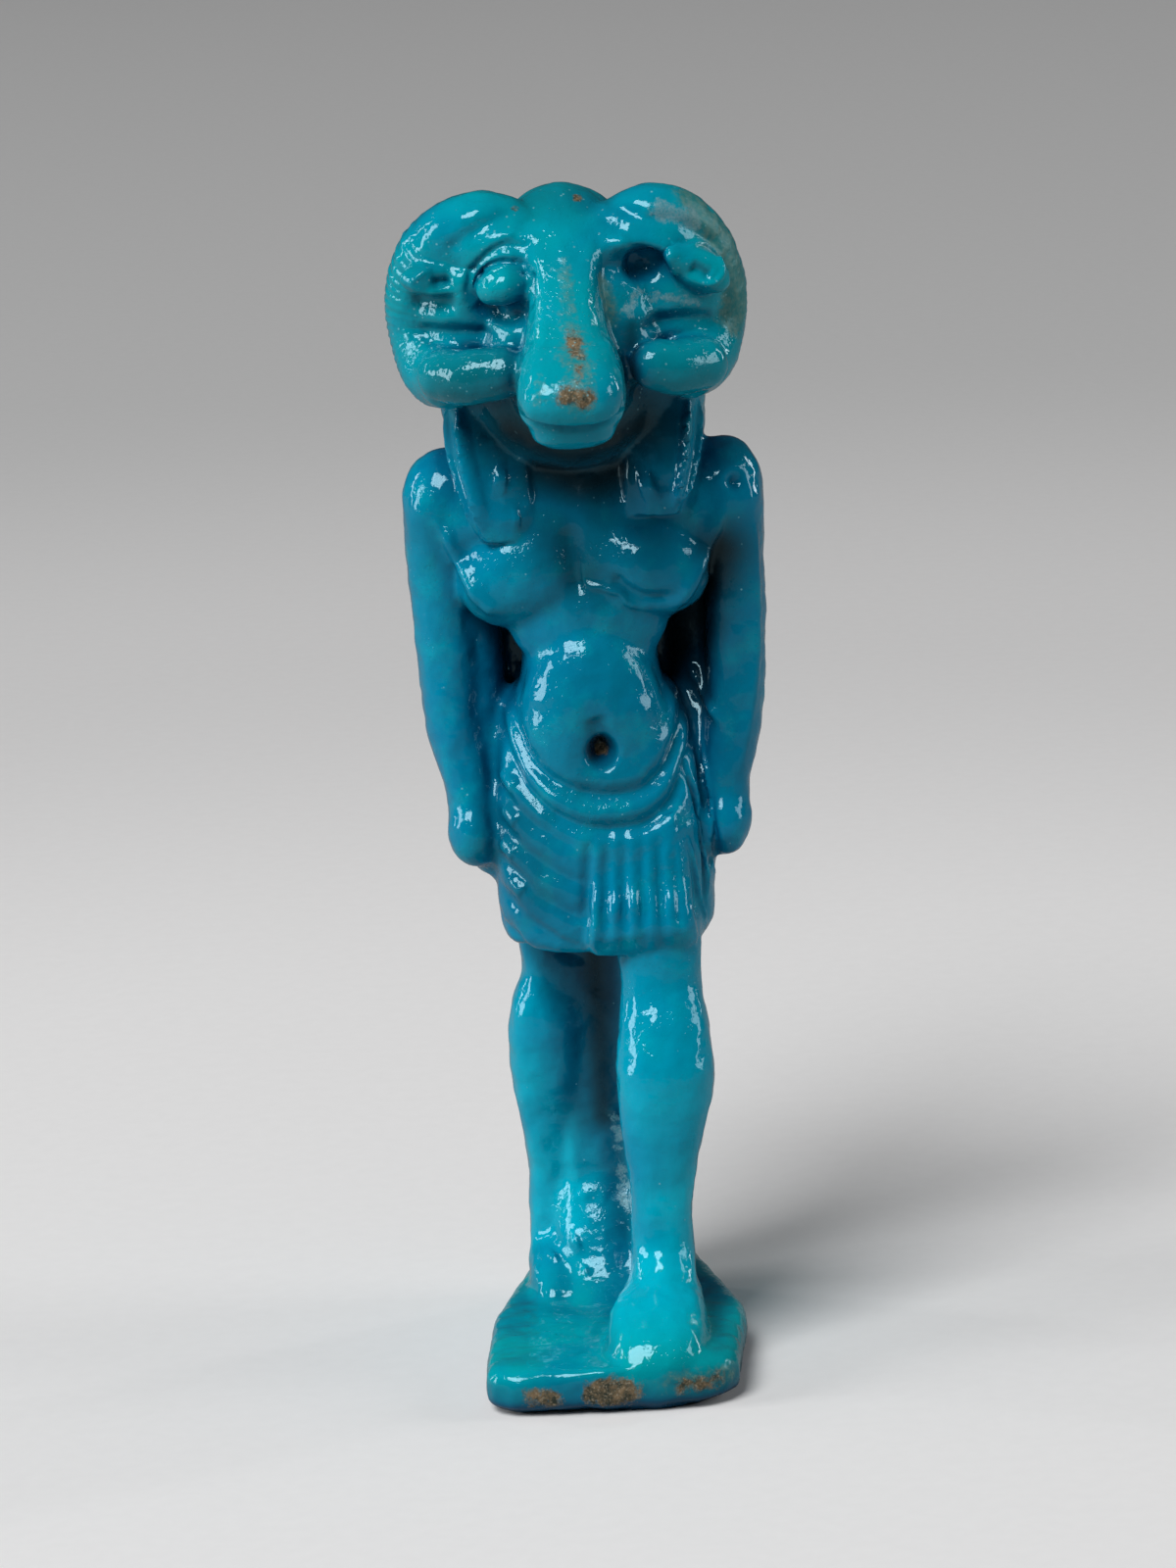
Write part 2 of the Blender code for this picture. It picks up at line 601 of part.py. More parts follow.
def thinned(mesh, triangles):
    """The same skin with fewer triangles, kept where it curves most."""
    obj = new_object("skin", mesh)
    decimate = obj.modifiers.new("Thin out", "DECIMATE")
    decimate.ratio = triangles / len(mesh.polygons)
    return applied(obj)


def bored(mesh):
    """The hole for the cord crosses the back pillar from side to side, behind the neck."""
    obj = new_object("skin", mesh)
    drill_mesh = bpy.data.meshes.new("drill")
    drill = bmesh.new()
    place = Matrix.Translation((
        0.0,
        (PLINTH_BACK - PILLAR_DEPTH / 2) / STEP,
        (PILLAR_HEIGHT - CORD_HOLE_BELOW_TOP) / STEP,
    ))
    bmesh.ops.create_cone(
        drill,
        cap_ends=True,
        segments=24,
        radius1=CORD_HOLE_DIAMETER / STEP / 2,
        radius2=CORD_HOLE_DIAMETER / STEP / 2,
        depth=1.6 * PILLAR_WIDTH / STEP,
        matrix=place @ Matrix.Rotation(math.radians(90), 4, "Y"),
    )
    drill.to_mesh(drill_mesh)
    drill.free()
    cutter = new_object("drill", drill_mesh)
    cut = obj.modifiers.new("Cord hole", "BOOLEAN")
    cut.operation = "DIFFERENCE"
    cut.solver = "EXACT"
    cut.object = cutter
    finished = applied(obj)
    bpy.data.objects.remove(cutter)
    return finished


def glaze():
    material = bpy.data.materials.new("Turquoise faience glaze")
    material.use_nodes = True
    shader = material.node_tree.nodes["Principled BSDF"]
    shader.inputs["Base Color"].default_value = GLAZE_COLOUR
    shader.inputs["Roughness"].default_value = GLAZE_ROUGHNESS
    return material


def main():
    clear_scene()
    skin = figure_mesh()
    flat_underside(skin)
    skin = thinned(skin, SKIN_TRIANGLES)
    level_underside(skin)
    skin = bored(skin)
    skin.transform(Matrix.Translation((0, 0, PLINTH_THICKNESS)) @ Matrix.Scale(STEP, 4))
    skin.shade_smooth()
    skin.set_sharp_from_angle(angle=math.radians(50))
    skin.materials.clear()
    skin.materials.append(glaze())
    new_object("ram_headed_amulet", skin)


main()
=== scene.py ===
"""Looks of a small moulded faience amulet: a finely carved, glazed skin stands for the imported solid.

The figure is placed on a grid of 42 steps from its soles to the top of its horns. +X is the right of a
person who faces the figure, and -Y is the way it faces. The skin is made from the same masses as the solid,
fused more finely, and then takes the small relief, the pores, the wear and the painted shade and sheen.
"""

import math

import bmesh
import bpy
import numpy as np
from mathutils import Euler, Matrix, Vector, noise
from mathutils.bvhtree import BVHTree


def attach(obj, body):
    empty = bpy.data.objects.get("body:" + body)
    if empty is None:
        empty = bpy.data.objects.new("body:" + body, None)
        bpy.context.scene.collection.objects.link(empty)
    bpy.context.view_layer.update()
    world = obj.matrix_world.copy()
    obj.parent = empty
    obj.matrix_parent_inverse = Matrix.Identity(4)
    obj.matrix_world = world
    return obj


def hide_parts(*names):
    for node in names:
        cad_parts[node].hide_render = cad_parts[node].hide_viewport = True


# Driving dimensions of the solid, in metres
FIGURE_HEIGHT = 0.0422
PLINTH_THICKNESS = 0.0018
PLINTH_WIDTH = 0.0099
PLINTH_BACK_WIDTH = 0.0058
PLINTH_TOE_MARGIN = 0.0004
PLINTH_TAPER_START = 0.0074
PLINTH_CORNER_ROUND = 0.0012
PLINTH_UNDERCUT = 0.0007
PLINTH_UNDERCUT_HEIGHT = 0.0004
PILLAR_HEIGHT = 0.0336
PILLAR_WIDTH = 0.0046
PILLAR_DEPTH = 0.0026
CORD_HOLE_DIAMETER = 0.0012
CORD_HOLE_BELOW_TOP = 0.0021
GRID_STEPS = 42
STEP = FIGURE_HEIGHT / GRID_STEPS
TOE_REACH = 7.6
BODY_BACK = 4.45
PLINTH_FRONT = -TOE_REACH * STEP - PLINTH_TOE_MARGIN
PLINTH_BACK = BODY_BACK * STEP + PILLAR_DEPTH

# Fineness of the skin, in grid steps and in triangles
BODY_VOXEL = 0.12
BODY_SMOOTHING = 20
SKIN_VOXEL = 0.1
SKIN_SMOOTHING = 6
SKIN_TRIANGLES = 188000

# Where the underside is cut and what is then pressed flat, in grid steps above the ground
UNDERSIDE_CUT = 0.03
UNDERSIDE_REACH = 0.06

# Relief of the skin: how many rings a horn has, and waves as (how many to a step, height in steps)
HORN_RINGS = 34
GLAZE_WAVES = [(0.45, 0.05), (1.3, 0.045), (3.0, 0.018)]
SHARP_EDGE_ANGLE = 60

# Kinds of wear and of painted sheen and shade, in the order of the layers that hold them
BARE, POROUS, DUST_AND_SHEEN, SHADE_AND_DIRT = range(4)

# Heights in metres between which the glaze changes its tone
HEAD_GREENER = (0.032, 0.040)
PLINTH_GREENER = (0.004, 0.0)
# The legs are painted lighter towards the feet, as painted bounce light from the floor
LEG_BOUNCE_LIGHT_SHARE = (0.017, 0.006)
PLINTH_TONE = (0.0035, 0.002)
HEAD_TONE = (0.034, 0.039)
HEAD_FRECKLES = (0.033, 0.038)
HEAD_PORES = (0.034, 0.04)

# Colours of the glaze where it is sound
BODY_BLUE = (0.0, 0.225, 0.4, 1)
BODY_GREEN = (0.0, 0.275, 0.365, 1)
# Painted bounce light: the legs lighter towards the feet
LEG_BOUNCE_LIT_TURQUOISE = (0.0, 0.45, 0.6, 1)
PLINTH_TURQUOISE = (0.0, 0.38, 0.425, 1)
HEAD_TURQUOISE = (0.0, 0.335, 0.41, 1)
THIN_GLAZE = (0.0, 0.36, 0.48, 1)
THICK_GLAZE = (0.0, 0.2, 0.35, 1)
# Painted shade of creases and recesses, with some pooled glaze
CREVICE_SHADE_GLAZE = (0.0, 0.08, 0.18, 1)
SPECK = (0.22, 0.55, 0.62, 1)
FRECKLE = (0.25, 0.55, 0.6, 1)

# Colours of painted shade and dirt, and of wear from dark to pale, the pale dust also painted sheen
SHADE_DIRT_COLOUR = (0.004, 0.014, 0.02, 1)
BARE_SHADES = ((0.03, 0.034, 0.02, 1), (0.22, 0.145, 0.072, 1), (0.34, 0.28, 0.19, 1))
POROUS_SHADES = ((0.02, 0.17, 0.16, 1), (0.13, 0.24, 0.19, 1))
DUST_AND_SHEEN_SHADES = ((0.06, 0.28, 0.33, 1), (0.3, 0.42, 0.45, 1))

# Gloss of the glaze, and how far its finest relief reaches, in metres
GLAZE_IOR = 1.5
GLAZE_TINT = (0.58, 0.9, 1.0, 1)
GLAZE_RELIEF = 0.000006

# Painted falloff of the studio light on the paper: its greys, each with its distance from the middle in
# metres
PAINTED_FALLOFF_NEAR = (0.05, (0.87, 0.865, 0.865, 1))
PAINTED_FALLOFF_BETWEEN = [
    (0.12, (0.72, 0.715, 0.715, 1)),
    (0.2, (0.59, 0.59, 0.59, 1)),
    (0.38, (0.6, 0.6, 0.6, 1)),
]
PAINTED_FALLOFF_FAR = (0.7, (0.2, 0.2, 0.2, 1))

# Shares of the floor's brightness that reflections and bounced light see, and the paper's finish
FLOOR_IN_REFLECTIONS = 0.35
FLOOR_IN_BOUNCES = 0.55
PAPER_ROUGHNESS = 0.85
PAPER_GLOSS = 0.2

# The camera, in degrees and metres; the shift moves it to its right and up
CAMERA_HEIGHT_ANGLE = 14.0
CAMERA_LEAN = 2.8
CAMERA_DISTANCE = 0.26
CAMERA_SHIFT = (-0.00018, -0.00029)
CAMERA_LENS = 162.63
CAMERA_SENSOR = 36.0
CAMERA_NEAREST = 0.01
FIGURE_MIDDLE = (0.0, 0.0, 0.022)

# Softboxes: name, place, width, height and power
SOFTBOXES = [
    ("key", (-0.32, -0.48, 0.71), 0.46, 0.42, 6.7),
    ("strip_left", (-0.93, -0.14, 0.3), 0.3, 0.5, 3.7),
    ("strip_right", (0.9, -0.05, 0.3), 0.3, 0.5, 2.0),
    ("rim_left", (-0.8, 0.38, 0.3), 0.07, 0.5, 0.8),
    ("rim_right", (0.78, 0.4, 0.3), 0.07, 0.5, 0.8),
]
AMBIENT_COLOUR = (0.8, 0.82, 0.84, 1)
AMBIENT_STRENGTH = 0.03


def new_object(name, data):
    obj = bpy.data.objects.new(name, data)
    bpy.context.scene.collection.objects.link(obj)
    return obj


def smooth_path(points, samples=10):
    """A Catmull-Rom curve through points of any dimension, as an array of closely spaced rows."""
    knots = np.asarray(points, float)
    knots = np.vstack([2 * knots[0] - knots[1], knots, 2 * knots[-1] - knots[-2]])
    rows = []
    for a, b, c, d in zip(knots, knots[1:], knots[2:], knots[3:]):
        for t in np.arange(samples) / samples:
            even, odd = 2 * a - 5 * b + 4 * c - d, 3 * b - a - 3 * c + d
            rows.append(0.5 * (2 * b + (c - a) * t + even * t**2 + odd * t**3))
    rows.append(knots[-2])
    return np.array(rows)


def skin_rings(clay, rings):
    """Bridges closed rings of points into one closed skin, with a flat cap at each end."""
    loops = [[clay.verts.new(point) for point in ring] for ring in rings]
    count = len(loops[0])
    for low, high in zip(loops, loops[1:]):
        for i in range(count):
            j = (i + 1) % count
            clay.faces.new((low[i], low[j], high[j], high[i]))
    clay.faces.new(loops[0][::-1])
    clay.faces.new(loops[-1])


def loft(clay, sections, corners=2.4, sides=48):
    """Level rounded sections (z, centre x, centre y, half width, half depth), joined smoothly upwards."""
    angles = np.arange(sides) * 2 * math.pi / sides
    cos, sin = np.cos(angles), np.sin(angles)
    round_x = np.sign(cos) * np.abs(cos) ** (2 / corners)
    round_y = np.sign(sin) * np.abs(sin) ** (2 / corners)
    rings = []
    for z, x, y, half_x, half_y in smooth_path(sections, 6):
        rings.append([(x + half_x * u, y + half_y * v, z) for u, v in zip(round_x, round_y)])
    skin_rings(clay, rings)


def limb(clay, stations, deep=1.0, corners=2.0, sides=28):
    """A tapering limb through stations (x, y, z, radius), with round ends; deep stretches it along Y."""
    rows = smooth_path(stations, 8)
    centres, radii = rows[:, :3], rows[:, 3]
    tangents = np.gradient(centres, axis=0)
    tangents /= np.linalg.norm(tangents, axis=1)[:, None]
    aside = (0.0, 1.0, 0.0) if abs(tangents[0][1]) < 0.8 else (0.0, 0.0, 1.0)
    side = np.cross(tangents[0], aside)
    angles = np.arange(sides) * 2 * math.pi / sides
    cos, sin = np.cos(angles), np.sin(angles)
    across = np.sign(cos) * np.abs(cos) ** (2 / corners)
    along_depth = np.sign(sin) * np.abs(sin) ** (2 / corners)
    cap = [math.radians(a) for a in (15, 40, 65)]
    places = [(0, -math.cos(a), math.sin(a)) for a in cap]
    places += [(i, 0.0, 1.0) for i in range(len(rows))]
    places += [(len(rows) - 1, math.cos(a), math.sin(a)) for a in reversed(cap)]
    rings = []
    for i, along, share in places:
        side = side - tangents[i] * (side @ tangents[i])
        side /= np.linalg.norm(side)
        up = np.cross(tangents[i], side)
        middle = centres[i] + tangents[i] * radii[i] * along
        offsets = (np.outer(across, side) + np.outer(along_depth, up)) * radii[i] * share
        offsets[:, 1] *= deep
        rings.append(middle + offsets)
    skin_rings(clay, rings)


def lump(clay, centre, radii, turn=(0, 0, 0)):
    """An ellipsoid of clay; turn is in degrees about X, Y and Z."""
    place = Matrix.Translation(centre) @ Euler([math.radians(a) for a in turn]).to_matrix().to_4x4()
    bmesh.ops.create_icosphere(
        clay, subdivisions=4, radius=1.0, matrix=place @ Matrix.Diagonal((*radii, 1.0))
    )


def slab(clay, low, high, round_off=0.3):
    """A block between two corners, with rounded edges."""
    low, high = Vector(low), Vector(high)
    place = Matrix.Translation((low + high) / 2) @ Matrix.Diagonal((*(high - low), 1.0))
    made = bmesh.ops.create_cube(clay, size=1.0, matrix=place)
    edges = {edge for vert in made["verts"] for edge in vert.link_edges}
    bmesh.ops.bevel(clay, geom=list(edges), offset=round_off, segments=3, affect="EDGES", profile=0.5)


def plinth(clay):
    """In plan the plinth is a block to about its middle, then tapers back to the pillar.

    Its edges are worn, and it stands on a foot that is set in from its outline, more so on the right.
    """
    front, back = PLINTH_FRONT / STEP, PLINTH_BACK / STEP
    shoulder = front + PLINTH_TAPER_START / STEP
    half, half_back = PLINTH_WIDTH / STEP / 2, PLINTH_BACK_WIDTH / STEP / 2
    thick, corner = PLINTH_THICKNESS / STEP, PLINTH_CORNER_ROUND / STEP
    left, right = -half - 0.06 * corner, half - 0.14 * corner
    plan = [
        (left, front + corner),
        (left + 0.25 * corner, front + 0.45 * corner),
        (left + 0.9 * corner, front + 0.1 * corner),
        (-0.1 * half, front),
        (right - 1.6 * corner, front + 0.2 * corner),
        (right - 0.8 * corner, front + 0.6 * corner),
        (right - 0.45 * corner, front + 1.2 * corner),
        (right, shoulder),
        (half_back, back),
        (-half_back, back),
        (left + 0.25 * corner, shoulder),
    ]
    inset, rise = PLINTH_UNDERCUT / STEP, PLINTH_UNDERCUT_HEIGHT / STEP
    middle, length = (front + back) / 2, (back - front) / 2
    narrow, short = 1 - inset / half, 1 - inset / length
    foot = [(x * narrow - 0.3 * inset, middle + (y - middle) * short) for x, y in plan]
    levels = ((foot, -thick), (plan, rise - thick), (plan, 0.0))
    loops = [[clay.verts.new((x, y, z)) for x, y in outline] for outline, z in levels]
    clay.faces.new(loops[0][::-1])
    top = clay.faces.new(loops[2])
    count = len(plan)
    for low, high in zip(loops, loops[1:]):
        for i in range(count):
            j = (i + 1) % count
            clay.faces.new((low[i], low[j], high[j], high[i]))
    bmesh.ops.bevel(clay, geom=list(top.edges), offset=0.3 * thick, segments=3, affect="EDGES", profile=0.5)


def back_pillar(clay):
    """The pillar stands flush with the back of the plinth, and the figure's back runs into it."""
    half, back, top = PILLAR_WIDTH / STEP / 2, PLINTH_BACK / STEP, PILLAR_HEIGHT / STEP
    slab(clay, (-half, BODY_BACK, -0.5 * PLINTH_THICKNESS / STEP), (half, back, top), 0.3)
    slab(clay, (-0.7 * half, 2.0, 0.0), (0.7 * half, back - 0.5, top - 0.5), 0.3)


def trunk(clay):
    loft(clay, [
        (19.0, 0.2, 1.6, 3.3, 2.8),
        (21.3, 0.1, 1.5, 2.95, 2.8),
        (22.8, 0.1, 1.5, 2.75, 2.6),
        (24.4, 0.13, 1.6, 2.5, 2.25),
        (25.8, 0.15, 1.75, 2.8, 2.15),
        (27.1, 0.1, 1.9, 3.9, 2.3),
        (28.3, 0.1, 1.9, 4.5, 2.35),
        (29.8, 0.1, 2.1, 5.2, 2.2),
        (31.2, 0.0, 2.3, 5.0, 1.9),
        (32.6, 0.0, 2.4, 3.6, 1.8),
        (33.6, 0.0, 2.4, 2.4, 1.8),
    ], corners=2.6)
    lump(clay, (0.1, 0.2, 21.5), (2.75, 1.9, 4.5))
    lump(clay, (0.1, 0.75, 25.0), (2.0, 1.35, 4.0))
    lump(clay, (0.1, 0.75, 26.0), (3.0, 1.4, 2.3))
    lump(clay, (-2.15, 0.6, 27.65), (2.45, 1.4, 1.95), (0, -18, 0))
    lump(clay, (2.3, 0.48, 27.7), (2.35, 1.45, 1.85), (0, 14, 0))
    for side in (-1, 1):
        lump(clay, (side * 3.2, 1.5, 29.9), (2.9, 1.5, 1.9), (0, side * 35, 0))


def arms(clay):
    for side, shoulder, elbow, fist, valley in ((-1, 5.28, 5.0, 4.4, 2.7), (1, 5.53, 5.35, 4.72, 3.7)):
        lump(clay, (side * (shoulder - 0.4), 2.3, 30.3), (1.6, 1.9, 1.8))
        limb(clay, [
            (side * (shoulder - 0.1), 2.3, 30.0, 1.3),
            (side * shoulder, 2.3, 27.6, 1.15),
            (side * (elbow + 0.12), 2.2, 24.8, 1.12),
            (side * elbow, 1.9, 22.0, 1.05),
            (side * (fist + 0.1), 1.4, 19.4, 0.92),
            (side * (fist + 0.05), 1.1, 17.7, 0.92),
        ], deep=1.45, corners=2.4)
        lump(clay, (side * (fist + 0.05), 0.9, 18.0), (1.0, 1.35, 1.35), (0, side * 6, 0))
        limb(clay, [
            (side * 4.35, valley, 30.0, 1.35),
            (side * 4.35, valley, 26.6, 1.35),
            (side * 4.25, valley - 0.3, 22.8, 1.25),
            (side * 3.8, 1.9, 19.6, 1.05),
            (side * 3.7, 1.7, 17.0, 0.95),
        ])


def back_of_body(clay):
    """A plain plate behind the arms and the waist closes the gaps between them, as the mould left it."""
    loft(clay, [
        (16.8, 0.2, 3.4, 3.0, 0.9),
        (18.6, 0.2, 3.7, 4.0, 0.9),
        (22.0, 0.15, 4.0, 4.6, 0.85),
        (27.0, 0.1, 4.05, 4.9, 0.85),
        (30.5, 0.1, 3.9, 4.9, 0.9),
        (32.0, 0.0, 3.5, 4.0, 0.9),
    ], corners=3.0)


def kilt_body(clay):
    loft(clay, [
        (13.7, 0.3, 1.5, 3.4, 2.8),
        (14.2, 0.33, 1.45, 3.85, 3.2),
        (15.4, 0.3, 1.4, 4.0, 3.3),
        (17.0, 0.26, 1.4, 4.05, 3.3),
        (19.2, 0.22, 1.4, 3.85, 3.2),
        (21.2, 0.15, 1.5, 3.55, 2.95),
        (22.6, 0.1, 1.7, 3.25, 2.5),
        (23.4, 0.1, 1.9, 2.8, 2.1),
    ])


def apron(clay):
    """The front flap of the kilt hangs from the belt and widens a little downwards."""
    rings = []
    for z, left, right, front in smooth_path([
        (13.75, -0.45, 3.3, -1.95),
        (14.2, -0.6, 3.5, -2.35),
        (15.0, -0.55, 3.45, -2.65),
        (16.4, -0.45, 3.4, -2.15),
        (17.6, -0.25, 3.3, -1.9),
        (19.0, -0.1, 3.2, -1.6),
    ], 5):
        middle, half = (left + right) / 2, (right - left) / 2
        box = [(-1, 0.6), (-0.85, 0.12), (0, 0), (0.8, 0.15), (1, 0.7), (1, 2.5), (-1, 2.5)]
        rings.append([(middle + half * u, front + v, z) for u, v in box])
    skin_rings(clay, rings)


def legs(clay):
    limb(clay, [
        (-1.85, 3.3, 14.6, 1.35),
        (-1.8, 3.3, 12.0, 1.2),
        (-2.1, 3.2, 10.3, 1.45),
        (-2.15, 3.3, 8.4, 1.47),
        (-2.05, 3.5, 6.4, 1.3),
        (-1.95, 3.7, 4.2, 1.17),
        (-2.0, 3.7, 1.6, 1.2),
    ], deep=1.1, corners=2.5)
    limb(clay, [
        (2.1, -0.5, 14.8, 1.6),
        (2.13, -0.8, 12.4, 1.5),
        (2.15, -1.3, 10.6, 1.68),
        (2.1, -1.6, 9.0, 1.84),
        (1.9, -1.9, 6.8, 1.5),
        (1.78, -2.2, 4.8, 1.18),
        (1.72, -2.5, 2.6, 1.18),
        (1.62, -2.9, 0.2, 1.35),
    ], corners=2.3)
    slab(clay, (-1.9, 3.8, -0.4), (2.6, 6.2, 14.6), 0.4)
    slab(clay, (0.8, -1.0, -0.4), (2.5, 4.2, 14.6), 0.5)
    slab(clay, (0.9, -2.2, -0.4), (2.4, 0.6, 7.0), 0.4)
    back = BODY_BACK + 1.0
    loft(clay, [
        (z, -0.1, (back + front) / 2, 2.2, (back - front) / 2)
        for z, front in (
            (-0.5, -1.8), (0.3, -0.5), (1.3, 0.5), (2.7, 1.2), (4.2, 2.0),
            (5.6, 2.7), (7.0, 3.2), (9.0, 3.7), (11.0, 4.1),
        )
    ], corners=2.6)


def feet(clay):
    limb(clay, [
        (-2.05, 4.2, 0.35, 1.1),
        (-2.1, 2.8, 0.75, 1.2),
        (-2.1, 1.6, 0.2, 1.15),
        (-2.1, 0.9, -0.1, 0.95),
    ], corners=2.4)
    limb(clay, [
        (1.8, -2.1, 3.4, 1.1),
        (1.7, -3.3, 1.6, 1.2),
        (1.6, -5.0, 0.3, 1.25),
    ])
    limb(clay, [
        (1.65, -1.6, 0.3, 1.4),
        (1.6, -3.2, 0.4, 1.6),
        (1.4, -4.7, 0.05, 1.85),
        (1.3, -6.1, -0.55, 1.8),
    ], corners=3.0)


def skull(clay):
    lump(clay, (0.0, 1.2, 37.6), (4.0, 3.6, 3.6))
    lump(clay, (-0.15, 0.7, 39.4), (2.4, 2.4, 2.5))
    lump(clay, (-0.1, 0.2, 39.7), (4.0, 2.25, 1.6))
    for side in (-1, 1):
        lump(clay, (side * 1.7, -0.8, 36.6), (1.5, 1.4, 2.0))
    lump(clay, (-0.25, 1.0, 34.4), (3.5, 2.6, 3.0))


def nose(clay):
    """A broad flat-topped bridge comes down from the crown to a boxy muzzle over a narrower lip."""
    rings = []
    for z, x, front, top, base in smooth_path([
        (41.2, -0.15, -0.65, 0.8, 1.3),
        (40.3, -0.12, -1.95, 1.05, 1.8),
        (39.0, -0.15, -3.15, 0.85, 1.4),
        (38.0, -0.18, -4.15, 0.8, 1.35),
        (37.0, -0.15, -5.2, 0.95, 1.5),
        (36.2, -0.12, -6.0, 1.25, 1.75),
        (35.4, -0.1, -6.3, 1.4, 1.8),
    ], 6):
        half = [(-base, 1.7 - front), (-base, 1.6), (-0.5 * (top + base), 0.5), (-top, 0.12)]
        other = [(-u, v) for u, v in reversed(half)]
        rings.append([(x + u, front + v, z) for u, v in [*half, (0.0, 0.0), *other]])
    skin_rings(clay, rings)
    loft(clay, [
        (z, -0.1, (front - 1.5) / 2, half, (-1.5 - front) / 2)
        for z, half, front in (
            (33.4, 1.1, -5.5), (33.7, 1.45, -6.1), (34.2, 1.62, -6.4), (34.6, 1.82, -6.9),
            (35.2, 1.92, -7.15), (35.8, 1.88, -7.05), (36.4, 1.7, -6.5), (37.0, 1.45, -5.4),
        )
    ], corners=3.4)
    limb(clay, [
        (-0.1, -4.4, 34.9, 1.5),
        (-0.1, -2.8, 34.9, 1.8),
        (-0.1, -0.8, 35.0, 2.3),
    ])
    lump(clay, (-0.1, -2.0, 34.3), (1.3, 2.7, 1.45))


def wig(clay):
    loft(clay, [
        (30.6, 0.0, 3.0, 4.2, 1.9),
        (32.5, 0.0, 2.4, 4.7, 2.6),
        (34.5, 0.0, 2.1, 4.7, 3.0),
        (37.0, 0.0, 1.9, 4.5, 3.1),
        (39.0, 0.0, 1.6, 3.8, 2.8),
        (40.2, 0.0, 1.3, 2.4, 2.0),
        (40.8, 0.0, 1.2, 1.2, 1.0),
    ])
    for side, foot in ((-1, 29.1), (1, 29.8)):
        rings = []
        for z, middle, y, half in smooth_path([
            (foot, 2.45, -0.65, 1.1),
            (foot + 1.5, 2.7, -0.65, 1.25),
            (foot + 3.5, 2.95, -0.3, 1.3),
            (foot + 6.0, 3.3, 0.4, 1.4),
        ], 5):
            box = [(-side, 0.6), (-0.75 * side, -0.2), (0.0, -0.75), (0.8 * side, -0.9), (side, -0.55)]
            box += [(1.3 * side, 1.2), (1.35 * side, 3.0), (-0.9 * side, 3.0)]
            box = box if side > 0 else box[::-1]
            rings.append([(side * middle + half * u, y + 0.75 * v + 0.75, z) for u, v in box])
        skin_rings(clay, rings)


def horn_stations(side):
    out = 0.15 if side < 0 else -0.12
    return [
        (side * 1.7, -0.2, 40.1, 1.3),
        (side * 3.2, -0.1, 40.45, 1.42),
        (side * (4.45 + out), 0.5, 39.6, 1.45),
        (side * (5.0 + out), 1.1, 38.1, 1.5),
        (side * (4.95 + out), 1.2, 36.6, 1.5),
        (side * (4.6 + out), 0.3, 35.5, 1.4),
        (side * (4.3 + out), -0.8, 35.3, 1.2),
    ]


def horns(clay):
    for side in (-1, 1):
        limb(clay, horn_stations(side))
        inner = 2.5 if side < 0 else 2.95
        limb(clay, [
            (side * 4.6, -1.3, 35.45, 0.98),
            (side * 3.7, -2.1, 35.5, 1.0),
            (side * inner, -2.5, 35.7, 0.95),
        ])
        lump(clay, (side * 3.3, 0.7, 37.9), (2.5, 2.0, 2.9))


def eyes_and_ears(clay):
    lump(clay, (-2.3, -1.7, 38.65), (1.05, 0.85, 0.8), (0, -8, 0))
    lump(clay, (-4.75, -0.85, 38.85), (1.35, 0.6, 0.62), (0, 5, 0))
    lump(clay, (4.55, -1.0, 38.85), (1.35, 0.7, 0.78), (0, 32, 0))


